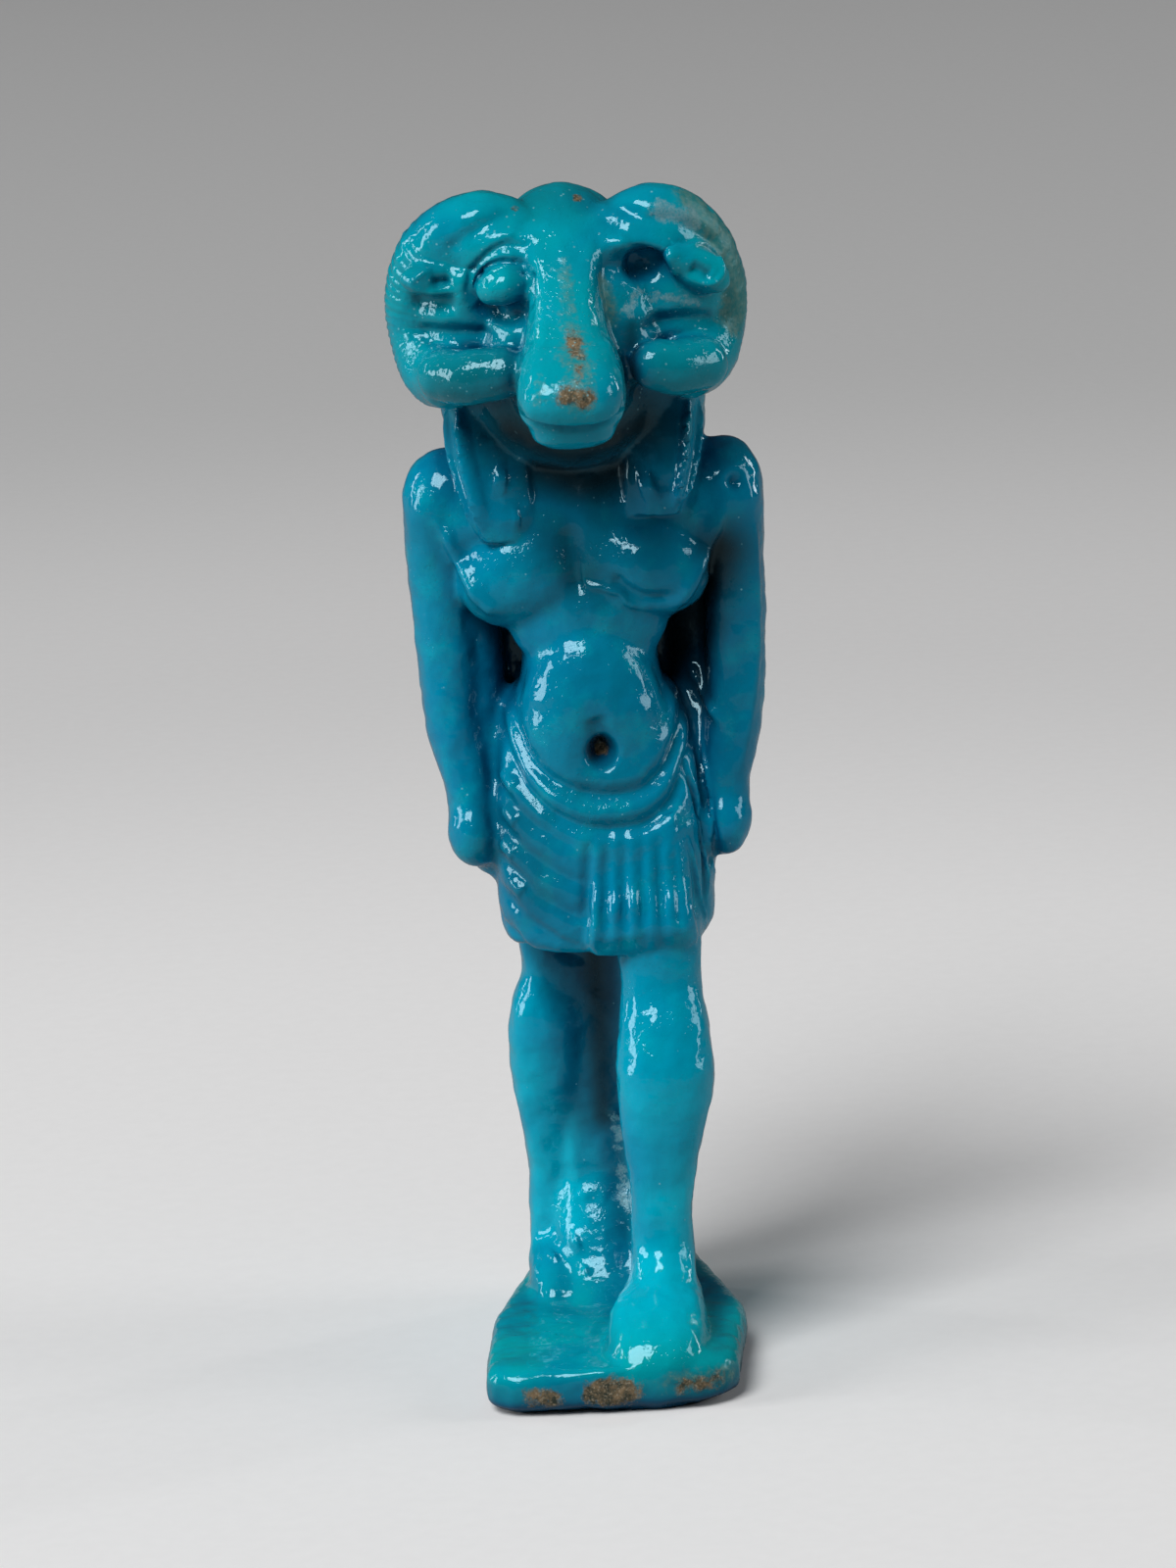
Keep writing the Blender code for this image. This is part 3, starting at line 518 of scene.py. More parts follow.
class Carver:
    """Collects strokes over a skin, each a path of front-view points pressed into it or raised on it."""

    def __init__(self, mesh):
        self.mesh = mesh
        clay = bmesh.new()
        clay.from_mesh(mesh)
        self.tree = BVHTree.FromBMesh(clay)
        clay.free()
        count = len(mesh.vertices)
        self.points = np.empty(count * 3, np.float32)
        mesh.vertices.foreach_get("co", self.points)
        self.points = self.points.reshape(-1, 3)
        self.normals = np.empty(count * 3, np.float32)
        mesh.vertices.foreach_get("normal", self.normals)
        self.normals = self.normals.reshape(-1, 3)
        self.lift = np.zeros(count, np.float32)

    def on_skin(self, x, z):
        hit = self.tree.ray_cast(Vector((x, -20.0, z)), Vector((0.0, 1.0, 0.0)))[0]
        return hit if hit else Vector((x, 0.0, z))

    def nearness(self, path, width, in_space=False):
        """The vertices near a path, their squared distance to it, and how far along it each one lies."""
        samples = smooth_path(path, 6) if len(path) > 1 else np.array(path, float)
        if in_space:
            line = np.array(samples, np.float32)[:, :3]
        else:
            line = np.array([self.on_skin(x, z) for x, z in samples], np.float32)
        low, high = line.min(axis=0) - 2.5 * width, line.max(axis=0) + 2.5 * width
        near = np.flatnonzero(((self.points > low) & (self.points < high)).all(axis=1))
        points = self.points[near]
        best = np.full(len(near), np.inf, np.float32)
        where = np.zeros(len(near), np.float32)
        last = max(len(line) - 1, 1)
        for i in range(last):
            a = line[i]
            b = line[min(i + 1, len(line) - 1)]
            run = b - a
            t = np.clip((points - a) @ run / max(float(run @ run), 1e-9), 0, 1)
            gap = ((points - a - t[:, None] * run) ** 2).sum(axis=1)
            closer = gap < best
            best[closer] = gap[closer]
            where[closer] = (i + t[closer]) / last
        return near, best, where

    def stroke(self, path, width, height, fade=0.15):
        """A ridge along the path, or a groove when height is negative, that thins out over its ends."""
        near, best, where = self.nearness(path, width)
        ends = np.minimum(where, 1 - where) / fade if fade and len(path) > 1 else np.ones(len(near))
        self.lift[near] += height * np.exp(-best / width**2) * np.clip(0.25 + 0.75 * ends, 0, 1)

    def pit(self, x, z, width, depth):
        """A hole with steep sides and a flat bottom."""
        near, best, _ = self.nearness([(x, z)], width)
        self.lift[near] -= depth * np.exp(-((best / width**2) ** 2))

    def rings(self, stations, reach, count, height, first, last):
        """Fine ridges that ring a horn, between two shares of its length."""
        near, best, where = self.nearness(stations, reach, in_space=True)
        inside = np.clip((where - first) / 0.06, 0, 1) * np.clip((last - where) / 0.06, 0, 1)
        close = np.clip((reach * 1.25 - np.sqrt(best)) / 0.4, 0, 1)
        wave = 0.5 + 0.5 * np.cos(where * count * 2 * math.pi)
        self.lift[near] += height * inside * close * (wave - 0.5)

    def weather(self, octaves):
        """Soft unevenness of the glaze, as waves of (how many to a step, height in steps)."""
        for scale, height in octaves:
            shift = Vector((3.7, 1.9, 8.3)) * scale
            waves = [noise.noise(Vector(p) * scale + shift) for p in self.points.tolist()]
            self.lift += height * np.array(waves, np.float32)

    def apply(self):
        moved = self.points + self.normals * self.lift[:, None]
        self.mesh.vertices.foreach_set("co", moved.astype(np.float32).ravel())
        self.mesh.update()


def carve_face(carver):
    """The viewer's left eye stands under two ridges; the right one is sunk in its socket."""
    carver.stroke([
        (-1.4, 40.45), (-2.2, 40.4), (-3.0, 40.0), (-3.6, 39.3), (-3.85, 38.5), (-3.6, 37.7),
    ], 0.34, 0.24)
    carver.stroke([(-1.5, 39.72), (-2.25, 39.8), (-2.85, 39.5), (-3.28, 39.0), (-3.4, 38.35)], 0.24, 0.22)
    carver.stroke([
        (-1.5, 40.08), (-2.25, 40.1), (-2.95, 39.75), (-3.45, 39.15), (-3.62, 38.4),
    ], 0.16, -0.07)
    carver.stroke([(-3.2, 38.2), (-2.75, 37.7), (-2.1, 37.55), (-1.55, 37.9)], 0.38, -0.32)
    carver.stroke([(-1.35, 38.2), (-1.3, 39.3)], 0.2, -0.2)
    carver.stroke([(1.4, 40.05), (2.45, 39.98), (3.4, 39.8), (3.95, 39.2)], 0.32, 0.35)
    carver.stroke([(2.0, 39.3), (2.6, 39.25), (3.3, 38.95)], 0.6, -0.64, 0.4)
    carver.stroke([(3.75, 39.5), (3.8, 38.7)], 0.2, 0.2)
    carver.stroke([(-4.9, 38.85), (-4.15, 38.95)], 0.27, -0.4)
    carver.stroke([(4.3, 39.05), (5.1, 38.6)], 0.3, -0.28)
    carver.stroke([(-5.7, 38.0), (-4.8, 38.05), (-4.0, 37.9)], 0.28, -0.16)
    carver.stroke([(-5.5, 36.95), (-4.3, 36.95), (-2.6, 36.9)], 0.3, -0.2)
    carver.stroke([(2.4, 36.95), (3.8, 37.05), (5.4, 36.9)], 0.3, -0.2)
    carver.stroke([(-1.75, 41.3), (-2.7, 40.95), (-3.7, 40.45), (-4.4, 39.8)], 0.32, -0.16)
    carver.stroke([(1.45, 41.5), (2.6, 40.95), (3.9, 40.65), (4.9, 40.0), (5.5, 39.1)], 0.3, -0.2)
    carver.stroke([(-1.85, 34.6), (-1.2, 34.42), (-0.2, 34.3), (0.8, 34.35), (1.65, 34.6)], 0.18, -0.3)


def carve_body(carver):
    carver.stroke([
        (-2.95, 23.2), (-2.65, 21.7), (-1.75, 20.5), (0.0, 19.8), (1.9, 19.95), (3.1, 21.2), (3.4, 22.4),
    ], 0.32, -0.32)
    carver.stroke([
        (-3.35, 22.3), (-2.75, 20.4), (-1.35, 19.05), (0.2, 18.55), (1.9, 18.7), (3.0, 19.6), (3.7, 21.3),
    ], 0.3, -0.28)
    carver.pit(0.38, 21.3, 0.52, 0.95)
    carver.stroke([(0.38, 21.35)], 0.8, -0.3)
    carver.stroke([(0.36, 21.5), (0.3, 22.0), (0.15, 22.7)], 0.4, -0.3)
    carver.stroke([(-0.5, 29.6), (-0.3, 28.3), (-0.1, 27.0)], 0.4, -0.3)
    carver.stroke([(-5.1, 29.7), (-4.4, 28.3), (-3.8, 27.1), (-3.0, 26.4)], 0.3, 0.28)
    carver.stroke([(5.3, 30.0), (4.5, 28.4), (3.85, 27.2), (3.2, 26.3)], 0.3, 0.28)
    carver.stroke([(1.0, 27.8), (1.5, 27.2), (2.3, 26.8), (3.3, 26.8)], 0.28, -0.25)
    carver.stroke([(-3.0, 26.5), (-2.0, 26.1), (-0.7, 26.3)], 0.5, -0.06)
    carver.stroke([(5.65, 30.7)], 0.28, -0.35)
    carver.stroke([(6.2, 30.0), (6.3, 27.6), (6.2, 25.0), (5.95, 22.6), (5.4, 20.0)], 0.22, 0.12)
    for outer in (-1, 1):
        carver.stroke([(outer * 4.1, 33.6), (outer * 3.85, 31.8), (outer * 3.45, 29.9)], 0.2, 0.16)
    for i in range(5):
        top = 20.2 - 1.3 * i
        pleat = [(-3.75, top), (-2.7, top - 1.15), (-1.5, top - 1.95), (-0.55, top - 2.4)]
        carver.stroke(pleat, 0.3, -0.15)
    for i in range(6):
        share = i / 5
        pleat = [(-0.2 + 3.1 * share, 18.3), (-0.45 + 3.35 * share, 16.3), (-0.6 + 3.6 * share, 14.2)]
        carver.stroke(pleat, 0.22, -0.17, 0.25)
    for x in (3.45, 3.85):
        carver.stroke([(x, 20.6), (x + 0.45, 17.8), (x + 0.5, 14.6)], 0.18, -0.2)


def carve_fine(carver):
    """Relief too fine for the solid, from the rings of the horns down to the kilt, the web and the toes."""
    carver.rings(horn_stations(-1), 1.5, HORN_RINGS, 0.045, 0.28, 0.97)
    carver.stroke([(3.4, 20.5), (3.75, 19.2), (3.7, 18.2), (3.95, 16.9), (4.05, 15.5)], 0.1, 0.14)
    carver.stroke([(4.03, 21.0), (4.2, 19.8), (4.3, 18.6), (4.15, 17.2), (4.3, 16.0)], 0.1, 0.14)
    carver.stroke([(3.3, 17.9), (3.55, 16.6), (3.7, 15.3), (3.9, 14.4)], 0.1, 0.14)
    carver.stroke([(3.75, 23.6), (4.2, 22.7), (4.7, 21.8)], 0.22, 0.2)
    carver.rings(horn_stations(1), 1.5, HORN_RINGS, 0.015, 0.3, 0.97)
    for i, height in enumerate((0.06, 0.12, 0.14, 0.05, 0.08)):
        share = (i + 0.5) / 5
        carver.stroke([(-0.35 + 3.3 * share, 16.4), (-0.5 + 3.45 * share, 15.2)], 0.24, height, 0.4)
    for shift in (0.0, 0.38):
        carver.stroke([(-4.25 - shift, 33.9), (-4.0 - shift, 31.7), (-3.5 - 0.6 * shift, 29.4)], 0.14, 0.26)
        carver.stroke([(4.1 + shift, 33.9), (3.85 + shift, 31.9), (3.5 + 0.4 * shift, 30.2)], 0.12, 0.26)
    carver.stroke([(-3.1, 31.4), (-2.6, 31.3)], 0.45, 0.22)
    carver.stroke([(-2.5, 29.9), (-2.2, 29.9)], 0.35, 0.15)
    carver.stroke([(2.2, 30.8), (2.8, 31.0)], 0.5, 0.24)
    for x, z in ((-3.15, 20.2), (-3.15, 18.95), (-3.3, 17.7), (-3.0, 16.4)):
        carver.stroke([(x - 0.2, z + 0.15), (x + 0.3, z - 0.3)], 0.28, 0.15)
    carver.stroke([(-4.9, 39.35), (-5.5, 39.0), (-5.6, 38.75), (-5.1, 38.5), (-4.3, 38.5)], 0.11, 0.1)
    carver.stroke([
        (4.1, 39.65), (4.8, 39.7), (5.35, 39.2), (5.5, 38.7), (5.1, 38.35), (4.5, 38.5),
    ], 0.11, 0.12)
    carver.stroke([(-3.1, 38.8), (-2.7, 39.3), (-2.1, 39.42), (-1.5, 39.3)], 0.1, 0.1)
    carver.stroke([
        (0.0, 28.2), (0.1, 27.4), (0.7, 27.2), (1.3, 27.0), (1.6, 26.6), (2.1, 26.4),
    ], 0.12, 0.12)
    for x, z, size in ((-3.0, 0.9, 0.2), (-2.35, 1.3, 0.3), (-1.5, 1.9, 0.38), (-1.2, 1.0, 0.24)):
        carver.stroke([(x - 0.3 * size, z), (x + 0.5 * size, z + 0.4 * size)], size, 0.4 * size)
    carver.stroke([(-1.3, 3.6), (-0.7, 3.75), (-0.1, 3.5)], 0.42, 0.1)
    carver.stroke([(0.1, 6.9), (0.25, 6.5)], 0.22, 0.1)


def fuse(clay, voxel, smoothing):
    """One skin around all the clay, with the joins between the masses filled by smoothing."""
    mesh = bpy.data.meshes.new("clay")
    clay.to_mesh(mesh)
    clay.free()
    obj = new_object("clay", mesh)
    remesh = obj.modifiers.new("Fuse", "REMESH")
    remesh.mode = "VOXEL"
    remesh.voxel_size = voxel
    smooth = obj.modifiers.new("Fill joins", "SMOOTH")
    smooth.factor = 0.5
    smooth.iterations = smoothing
    return applied(obj)


def applied(obj):
    """The evaluated mesh of an object that is then removed."""
    graph = bpy.context.evaluated_depsgraph_get()
    mesh = bpy.data.meshes.new_from_object(obj.evaluated_get(graph))
    bpy.data.objects.remove(obj)
    return mesh


def figure_mesh():
    clay = bmesh.new()
    for build in (plinth, back_pillar, trunk, arms, back_of_body, kilt_body, legs, feet):
        build(clay)
    body = fuse(clay, BODY_VOXEL, BODY_SMOOTHING)
    clay = bmesh.new()
    clay.from_mesh(body)
    for build in (apron, wig, skull, nose, horns, eyes_and_ears):
        build(clay)
    skin = fuse(clay, SKIN_VOXEL, SKIN_SMOOTHING)
    carver = Carver(skin)
    carve_face(carver)
    carve_body(carver)
    carver.apply()
    carver = Carver(skin)
    carve_fine(carver)
    carver.weather(GLAZE_WAVES)
    carver.apply()
    return skin


def flat_underside(mesh):
    """Cuts the skin level with the underside of the plinth, so that the amulet stands on one flat face."""
    clay = bmesh.new()
    clay.from_mesh(mesh)
    level = -PLINTH_THICKNESS / STEP + UNDERSIDE_CUT
    cut = bmesh.ops.bisect_plane(
        clay,
        geom=clay.verts[:] + clay.edges[:] + clay.faces[:],
        plane_co=(0, 0, level),
        plane_no=(0, 0, 1),
        clear_inner=True,
    )
    rim = [item for item in cut["geom_cut"] if isinstance(item, bmesh.types.BMEdge)]
    bmesh.ops.contextual_create(clay, geom=rim)
    bmesh.ops.triangulate(clay, faces=clay.faces[:])
    clay.to_mesh(mesh)
    clay.free()


def level_underside(mesh):
    for vert in mesh.vertices:
        if vert.co.z < -PLINTH_THICKNESS / STEP + UNDERSIDE_REACH:
            vert.co.z = -PLINTH_THICKNESS / STEP


def thinned(mesh, triangles):
    """The same skin with fewer triangles, kept where it curves most."""
    obj = new_object("skin", mesh)
    decimate = obj.modifiers.new("Thin out", "DECIMATE")
    decimate.ratio = min(1.0, triangles / len(mesh.polygons))
    return applied(obj)


def without_crumbs(mesh):
    """Drops every crumb of clay that is not joined to the figure."""
    clay = bmesh.new()
    clay.from_mesh(mesh)
    left = set(clay.verts)
    bodies = []
    while left:
        body, reached = set(), [left.pop()]
        while reached:
            vert = reached.pop()
            body.add(vert)
            joined = {edge.other_vert(vert) for edge in vert.link_edges} & left
            left -= joined
            reached += joined
        bodies.append(body)
    figure = max(bodies, key=len)
    crumbs = [vert for vert in clay.verts if vert not in figure]
    bmesh.ops.delete(clay, geom=crumbs, context="VERTS")
    clay.to_mesh(mesh)
    clay.free()


def bored(mesh):
    """The hole for the cord crosses the back pillar from side to side, behind the neck."""
    obj = new_object("skin", mesh)
    drill_mesh = bpy.data.meshes.new("drill")
    drill = bmesh.new()
    place = Matrix.Translation((
        0.0,
        (PLINTH_BACK - PILLAR_DEPTH / 2) / STEP,
        (PILLAR_HEIGHT - CORD_HOLE_BELOW_TOP) / STEP,
    ))
    bmesh.ops.create_cone(
        drill,
        cap_ends=True,
        segments=48,
        radius1=CORD_HOLE_DIAMETER / STEP / 2,
        radius2=CORD_HOLE_DIAMETER / STEP / 2,
        depth=1.6 * PILLAR_WIDTH / STEP,
        matrix=place @ Matrix.Rotation(math.radians(90), 4, "Y"),
    )
    drill.to_mesh(drill_mesh)
    drill.free()
    cutter = new_object("drill", drill_mesh)
    cut = obj.modifiers.new("Cord hole", "BOOLEAN")
    cut.operation = "DIFFERENCE"
    cut.solver = "EXACT"
    cut.object = cutter
    finished = applied(obj)
    bpy.data.objects.remove(cutter)
    return finished


def paint_worn_and_shaded(mesh):
    """Shares of wear at each vertex, along paths over the skin.

    Four layers hold the bare brown body, the porous worn glaze, the dusty glaze, which also stands for
    painted sheen on the right cheek and horn, and painted shade with some dark dirt under the head, in the
    gaps and on shaded sides. A fifth share, kept by itself, dulls sound glaze.
    """
    painter = Carver(mesh)
    layers = np.zeros((len(painter.points), 4), np.float32)
    patches = [
        (BARE, [(0.1, 37.3), (0.15, 36.8)], 0.42, 0.72),
        (BARE, [(-0.3, 35.65), (0.4, 35.55)], 0.5, 0.8),
        (BARE, [(0.2, 36.5), (0.15, 35.9)], 0.25, 0.6),
        (BARE, [(0.05, 34.2)], 0.25, 0.5),
        (BARE, [(0.4, 41.5)], 0.28, 0.8),
        (BARE, [(-1.8, 41.3)], 0.25, 0.6),
        (BARE, [(0.38, 21.2)], 0.35, 0.9),
        (BARE, [(-3.3, -1.0), (-2.5, -1.05)], 0.5, 0.75),
        (BARE, [(-1.0, -0.9), (0.1, -0.9)], 0.62, 0.95),
        (BARE, [(2.2, -0.8), (3.5, -0.8)], 0.45, 0.7),
        (POROUS, [(-0.1, 39.6), (0.0, 38.0), (0.1, 36.2)], 0.5, 0.5),
        (POROUS, [(0.15, 37.4), (0.1, 35.5)], 0.85, 0.62),
        (POROUS, [(1.1, 38.8), (1.4, 37.4)], 0.5, 0.7),
        (POROUS, [(4.6, 41.2), (5.6, 39.8), (6.0, 38.2), (5.9, 36.8)], 0.8, 1.1),
        (POROUS, [(-1.1, 36.2), (-1.4, 35.6)], 0.5, 0.5),
        (POROUS, [(3.9, -0.6), (1.6, -0.6)], 0.7, 0.5),
        # Dusty glaze, also painted sheen on the right cheek, under the right ear and on the right horn
        (DUST_AND_SHEEN, [(2.0, 37.6), (2.4, 38.2)], 0.5, 0.62),
        (DUST_AND_SHEEN, [(3.0, 38.0), (4.6, 37.7)], 0.5, 0.55),
        (DUST_AND_SHEEN, [(3.4, 41.0), (4.6, 40.6)], 0.6, 0.8),
        (DUST_AND_SHEEN, [(0.2, 6.4), (0.5, 3.0)], 0.45, 0.6),
        (DUST_AND_SHEEN, [(4.9, -1.2, -0.3), (4.2, 1.5, -0.2), (3.4, 4.5, -0.2)], 0.7, 0.9),
        (DUST_AND_SHEEN, [(-4.7, -0.8, -0.3), (-3.4, 4.0, -0.2)], 0.5, 0.7),
        # Painted shade with some dark dirt, under the head, in gaps and recesses and on shaded sides
        (SHADE_AND_DIRT, [(4.7, 0.4, -0.4), (3.6, 4.5, -0.4)], 0.6, 0.45),
        (SHADE_AND_DIRT, [(-2.3, 33.2), (-0.2, 32.3), (2.3, 33.2)], 1.4, 1.0),
        (SHADE_AND_DIRT, [(-1.2, 31.6), (0.2, 31.0), (1.5, 31.4)], 1.1, 0.95),
        (SHADE_AND_DIRT, [(0.1, 31.0), (0.3, 29.9)], 1.3, 0.4),
        (SHADE_AND_DIRT, [(-0.9, 29.0), (0.1, 27.6)], 1.5, 0.62),
        (SHADE_AND_DIRT, [(1.2, 28.4), (2.4, 28.4)], 1.2, 0.28),
        (SHADE_AND_DIRT, [(0.2, 23.6), (0.2, 20.6)], 2.2, 0.25),
        (SHADE_AND_DIRT, [(-2.9, 18.6), (-2.4, 16.0)], 1.6, 0.45),
        (SHADE_AND_DIRT, [(2.6, -0.8), (4.4, -0.8)], 1.0, 0.35),
        (SHADE_AND_DIRT, [(-4.6, 35.4), (-2.8, 35.7)], 1.3, 0.58),
        (SHADE_AND_DIRT, [(4.6, 35.4), (3.2, 35.7)], 1.2, 0.3),
        (SHADE_AND_DIRT, [(-1.0, 41.6), (0.8, 41.6)], 1.1, 0.4),
        (SHADE_AND_DIRT, [(-4.6, 30.6), (-5.2, 29.4)], 1.4, 0.25),
        (SHADE_AND_DIRT, [(-5.2, 39.0), (-5.6, 37.4)], 1.2, 0.25),
        (SHADE_AND_DIRT, [(5.4, 28.5), (5.2, 24.0), (4.9, 20.0)], 1.1, 0.25),
        (SHADE_AND_DIRT, [(5.0, 28.2), (4.2, 25.8), (3.4, 24.4)], 1.3, 1.0),
        (SHADE_AND_DIRT, [(4.6, 25.6), (4.1, 22.6)], 1.0, 0.7),
        (SHADE_AND_DIRT, [(-0.8, 12.8), (-0.8, 9.5), (-1.0, 6.6)], 0.9, 0.45),
        (SHADE_AND_DIRT, [(-3.9, 26.6), (-3.2, 25.4), (-2.9, 24.4)], 0.8, 0.25),
        (SHADE_AND_DIRT, [(0.38, 21.5)], 0.45, 1.0),
        (SHADE_AND_DIRT, [(-0.2, 7.5), (0.3, 5.0), (0.5, 2.6)], 0.8, 0.42),
        (SHADE_AND_DIRT, [(-0.3, 13.2), (-0.2, 10.0), (-0.2, 6.6)], 0.75, 0.9),
        (SHADE_AND_DIRT, [(2.15, 37.0), (2.2, 34.4)], 0.4, 0.7),
    ]
    for layer, path, width, strength in patches:
        near, best, _ = painter.nearness(path, width, len(path[0]) == 3)
        layers[near, layer] = np.maximum(layers[near, layer], strength * np.exp(-best / width**2))
    # The layers of wear, painted sheen and painted shade go on the skin as one colour attribute
    attribute = mesh.color_attributes.new("worn_and_shaded", "FLOAT_COLOR", "POINT")
    attribute.data.foreach_set("color", layers.ravel())
    matte = np.zeros(len(painter.points), np.float32)
    for path, width, strength in (
        ([(0.0, 39.4), (0.0, 37.5)], 0.7, 0.5),
        ([(-1.3, 10.0), (-1.4, 6.0)], 1.0, 0.3),
        ([(-0.3, 5.0), (-0.3, 2.5)], 1.2, 0.25),
    ):
        near, best, _ = painter.nearness(path, width)
        matte[near] = np.maximum(matte[near], strength * np.exp(-best / width**2))
    attribute = mesh.attributes.new("matte", "FLOAT", "POINT")
    attribute.data.foreach_set("value", matte)


class Nodes:
    """Short calls for the nodes of one material."""

    def __init__(self, name):
        self.material = bpy.data.materials.new(name)
        self.material.use_nodes = True
        self.tree = self.material.node_tree
        self.shader = self.tree.nodes["Principled BSDF"]

    def put(self, value, socket):
        if isinstance(value, bpy.types.NodeSocket):
            self.tree.links.new(value, socket)
        else:
            socket.default_value = value

    def node(self, kind, inputs=(), out=0, **settings):
        made = self.tree.nodes.new(kind)
        for key, value in settings.items():
            setattr(made, key, value)
        for key, value in dict(inputs).items():
            self.put(value, made.inputs[key])
        return made.outputs[out]

    def noise(self, place, scale, detail=4.0, roughness=0.55):
        return self.node("ShaderNodeTexNoise", {
            "Vector": place, "Scale": scale, "Detail": detail, "Roughness": roughness,
        })

    def math(self, operation, a, b=0.0, clamp=False):
        return self.node("ShaderNodeMath", {0: a, 1: b}, operation=operation, use_clamp=clamp)

    def ramp(self, value, low, high, new_low=0.0, new_high=1.0):
        return self.node("ShaderNodeMapRange", {
            "Value": value, "From Min": low, "From Max": high, "To Min": new_low, "To Max": new_high,
        })

    def blend(self, share, a, b):
        made = self.tree.nodes.new("ShaderNodeMix")
        made.data_type = "RGBA"
        self.put(share, made.inputs[0])
        self.put(a, made.inputs[6])
        self.put(b, made.inputs[7])
        return made.outputs[2]


def glaze():
    n = Nodes("Turquoise faience glaze")
    place = n.node("ShaderNodeTexCoord", out="Object")
    # Layers of wear and of painted sheen and shade
    worn_and_shaded = n.node("ShaderNodeAttribute", attribute_name="worn_and_shaded")
    kinds = n.tree.nodes.new("ShaderNodeSeparateColor")
    n.tree.links.new(worn_and_shaded, kinds.inputs[0])
    broad = n.noise(place, 160.0, 3.0)
    middle = n.noise(place, 900.0, 5.0)
    fine = n.noise(place, 4200.0, 5.0, 0.6)
    grain = n.noise(place, 11000.0, 3.0, 0.6)

    def edge(share, ragged, low, high):
        mixed = n.math("ADD", share, n.math("MULTIPLY", n.math("SUBTRACT", ragged, 0.5), 1.5))
        return n.ramp(mixed, low, high)

    ragged = n.noise(place, 1700.0, 6.0, 0.75)
    crust = edge(kinds.outputs[BARE], ragged, 0.4, 0.66)
    worn = edge(kinds.outputs[POROUS], n.math("MULTIPLY", n.math("ADD", middle, fine), 0.5), 0.35, 0.75)
    # Dust, which on the right cheek and horn also stands for painted sheen
    powder_and_sheen = edge(kinds.outputs[DUST_AND_SHEEN], ragged, 0.5, 0.66)

    occluded = n.node("ShaderNodeAmbientOcclusion", {"Distance": 0.006}, out="AO", samples=8)
    level = n.node("ShaderNodeSeparateXYZ", {0: place}, out="Z")
    greener = n.math("MAXIMUM", n.ramp(level, *HEAD_GREENER), n.ramp(level, *PLINTH_GREENER))
    greener = n.math("MULTIPLY", greener, 0.6)
    greener = n.math("ADD", greener, n.ramp(broad, 0.35, 0.75, 0.0, 0.5), clamp=True)
    turquoise = n.blend(greener, BODY_BLUE, BODY_GREEN)
    # Painted bounce light from the floor: the legs lighter towards the feet
    turquoise = n.blend(n.ramp(level, *LEG_BOUNCE_LIGHT_SHARE), turquoise, LEG_BOUNCE_LIT_TURQUOISE)
    turquoise = n.blend(n.ramp(level, *PLINTH_TONE), turquoise, PLINTH_TURQUOISE)
    turquoise = n.blend(n.ramp(level, *HEAD_TONE), turquoise, HEAD_TURQUOISE)
    turquoise = n.blend(n.ramp(middle, 0.5, 0.85), turquoise, THIN_GLAZE)
    turquoise = n.blend(n.ramp(broad, 0.5, 0.25), turquoise, THICK_GLAZE)
    # Painted shade: darker glaze where the ambient occlusion closes in, with some pooled glaze
    turquoise = n.blend(n.ramp(occluded, 0.92, 0.32), turquoise, CREVICE_SHADE_GLAZE)
    # Painted shade with dark dirt from the last layer, and painted shade in the deepest recesses
    shade_dirt_share = n.node("ShaderNodeAttribute", out="Alpha", attribute_name="worn_and_shaded")
    shade_dirt_share = n.math("ADD", shade_dirt_share, n.ramp(occluded, 0.3, 0.02, 0.0, 0.35), clamp=True)
    turquoise = n.blend(shade_dirt_share, turquoise, SHADE_DIRT_COLOUR)
    gritty = n.noise(place, 2600.0, 5.0, 0.7)
    brown = n.blend(n.ramp(gritty, 0.4, 0.62), BARE_SHADES[0], BARE_SHADES[1])
    brown = n.blend(n.ramp(grain, 0.52, 0.7), brown, BARE_SHADES[2])
    green = n.blend(n.ramp(fine, 0.4, 0.65), *POROUS_SHADES)
    colour = n.blend(n.math("MULTIPLY", worn, 0.8), turquoise, green)
    # Pale dust, also painted sheen on the right cheek and horn
    powder_and_sheen_colour = n.blend(n.ramp(grain, 0.3, 0.7), *DUST_AND_SHEEN_SHADES)
    colour = n.blend(n.math("MULTIPLY", powder_and_sheen, 0.6), colour, powder_and_sheen_colour)
    colour = n.blend(crust, colour, brown)
    specks = n.node("ShaderNodeTexVoronoi", {"Vector": place, "Scale": 1500.0}, feature="F1")
    specks = n.math("MULTIPLY", n.ramp(specks, 0.07, 0.035), n.ramp(middle, 0.42, 0.56))
    colour = n.blend(n.math("MULTIPLY", specks, 0.6), colour, SPECK)
    freckles = n.node("ShaderNodeTexVoronoi", {"Vector": place, "Scale": 2900.0}, feature="F1")
    freckles = n.math("MULTIPLY", n.ramp(freckles, 0.15, 0.07), n.ramp(level, *HEAD_FRECKLES))
    freckles = n.math("MULTIPLY", freckles, n.ramp(middle, 0.4, 0.55))
    colour = n.blend(n.math("MULTIPLY", freckles, 0.55), colour, FRECKLE)
    n.put(colour, n.shader.inputs["Base Color"])

    rough = n.ramp(fine, 0.3, 0.8, 0.03, 0.08)
    rough = n.math("ADD", rough, n.ramp(shade_dirt_share, 0.6, 1.0, 0.0, 0.3))
    matte = n.node("ShaderNodeAttribute", out="Fac", attribute_name="matte")
    rough = n.math("ADD", rough, n.math("MULTIPLY", matte, 0.12))
    rough = n.math("ADD", rough, n.math("MULTIPLY", worn, 0.35))
    rough = n.math("ADD", rough, n.math("MULTIPLY", powder_and_sheen, 0.22))
    rough = n.math("ADD", rough, n.math("MULTIPLY", crust, 0.6), clamp=True)
    n.put(rough, n.shader.inputs["Roughness"])

